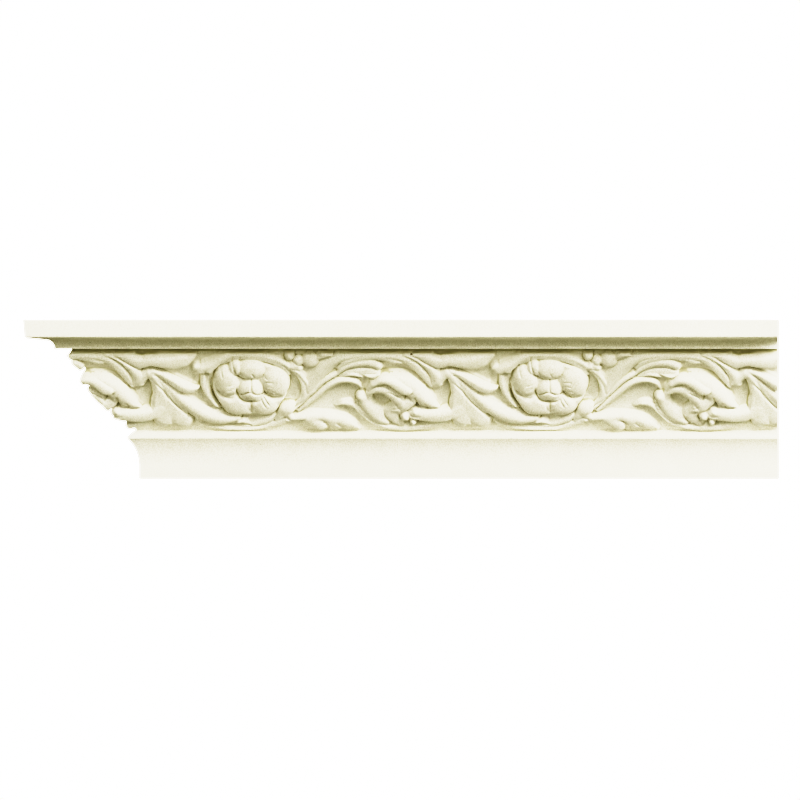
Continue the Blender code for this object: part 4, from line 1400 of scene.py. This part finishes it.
@dataclass
class Studio:
    """Soft lamps, an open pale surround, a pale floor and the photograph's view."""

    millimetres_a_pixel: float = 0.67
    picture: int = 800
    left_edge: float = 24.0
    foot_line: float = 478.0
    camera_distance: float = 2.0
    floor_drop: float = 0.35
    floor_half: float = 3.0
    floor_colour: Colour = (0.37, 0.39, 0.49, 1.0)
    floor_bounce: Colour = (0.10, 0.10, 0.09, 1.0)
    floor_glow: float = 1.0
    floor_roughness: float = 0.9
    dim: Colour = (0.0038, 0.0037, 0.0034, 1.0)
    white: Colour = (1.0, 1.0, 1.0, 1.0)
    black: Colour = (0.0, 0.0, 0.0, 1.0)
    backdrop: float = 4.0
    lamps: tuple[Lamp, ...] = (
        Lamp("right key", 60.0, 20.0, 2.2, 1.0, 33.0),
        Lamp("front", 25.0, 26.0, 2.2, 0.8, 30.0),
        Lamp("high", 25.0, 45.0, 2.2, 1.0, 12.0),
        Lamp("left fill", -30.0, 15.0, 2.2, 1.0, 9.0),
        Lamp("back", 150.0, 25.0, 2.2, 1.5, 25.0),
        Lamp("back left", -120.0, 25.0, 2.2, 1.5, 15.0),
    )

    def set_world(self) -> None:
        """A white backdrop for the camera and a very dim surround for everything else."""
        world = bpy.data.worlds.new("surround")
        bpy.context.scene.world = world
        world.use_nodes = True
        nodes = Nodes(world.node_tree)
        seen = nodes.add("ShaderNodeLightPath", {}, out="Is Camera Ray")
        background = world.node_tree.nodes["Background"]
        nodes.set(background, "Color", nodes.mix(seen, self.dim, self.white))
        background.inputs["Strength"].default_value = self.backdrop

    def set_floor(self) -> None:
        """A pale floor, well below the moulding, which throws little light back up at it."""
        lo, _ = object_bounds()
        k, z = self.floor_half, lo.z - self.floor_drop
        mesh = bpy.data.meshes.new("floor")
        mesh.from_pydata([(-k, -k, z), (k, -k, z), (k, k, z), (-k, k, z)], [], [(0, 1, 2, 3)])
        floor = bpy.data.objects.new("floor", mesh)
        bpy.context.scene.collection.objects.link(floor)
        material = bpy.data.materials.new("pale floor")
        material.use_nodes = True
        nodes = Nodes(material.node_tree)
        shader = material.node_tree.nodes["Principled BSDF"]
        seen = nodes.add("ShaderNodeLightPath", {}, out="Is Camera Ray")
        shader.inputs["Base Color"].default_value = self.floor_bounce
        nodes.set(shader, "Emission Color", nodes.mix(seen, self.black, self.floor_colour))
        shader.inputs["Emission Strength"].default_value = self.floor_glow
        shader.inputs["Roughness"].default_value = self.floor_roughness
        mesh.materials.append(material)
        floor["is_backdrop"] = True

    def set_camera(self) -> None:
        """A level camera square to the face, as flat as the photograph's very long view."""
        lo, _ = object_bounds()
        scale = self.millimetres_a_pixel * MM
        middle = 0.5 * self.picture
        data = bpy.data.cameras.new("camera")
        data.type = "ORTHO"
        data.ortho_scale = self.picture * scale
        camera = bpy.data.objects.new("camera", data)
        x = lo.x + (middle - self.left_edge) * scale
        camera.location = (x, -self.camera_distance, lo.z + (self.foot_line - middle) * scale)
        camera.rotation_euler = (0.5 * math.pi, 0.0, 0.0)
        bpy.context.scene.collection.objects.link(camera)
        bpy.context.scene.camera = camera

    def set_up(self) -> None:
        """Makes the whole studio."""
        lo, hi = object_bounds()
        for lamp in self.lamps:
            lamp.light(0.5 * (lo + hi))
        self.set_world()
        self.set_floor()
        self.set_camera()
        Print().apply()


def main() -> None:
    """Builds the moulding, dresses it and sets up the studio."""
    logging.basicConfig(level=logging.INFO, format="%(message)s")
    studio = Studio()
    studio.set_up()
    moulding = Moulding()
    piece = moulding.build()
    moulding.dress(piece, CastFinish(), studio)
    LOG.info("%s: %d triangles", piece.name, len(piece.data.polygons))


if __name__ == "__main__":
    main()
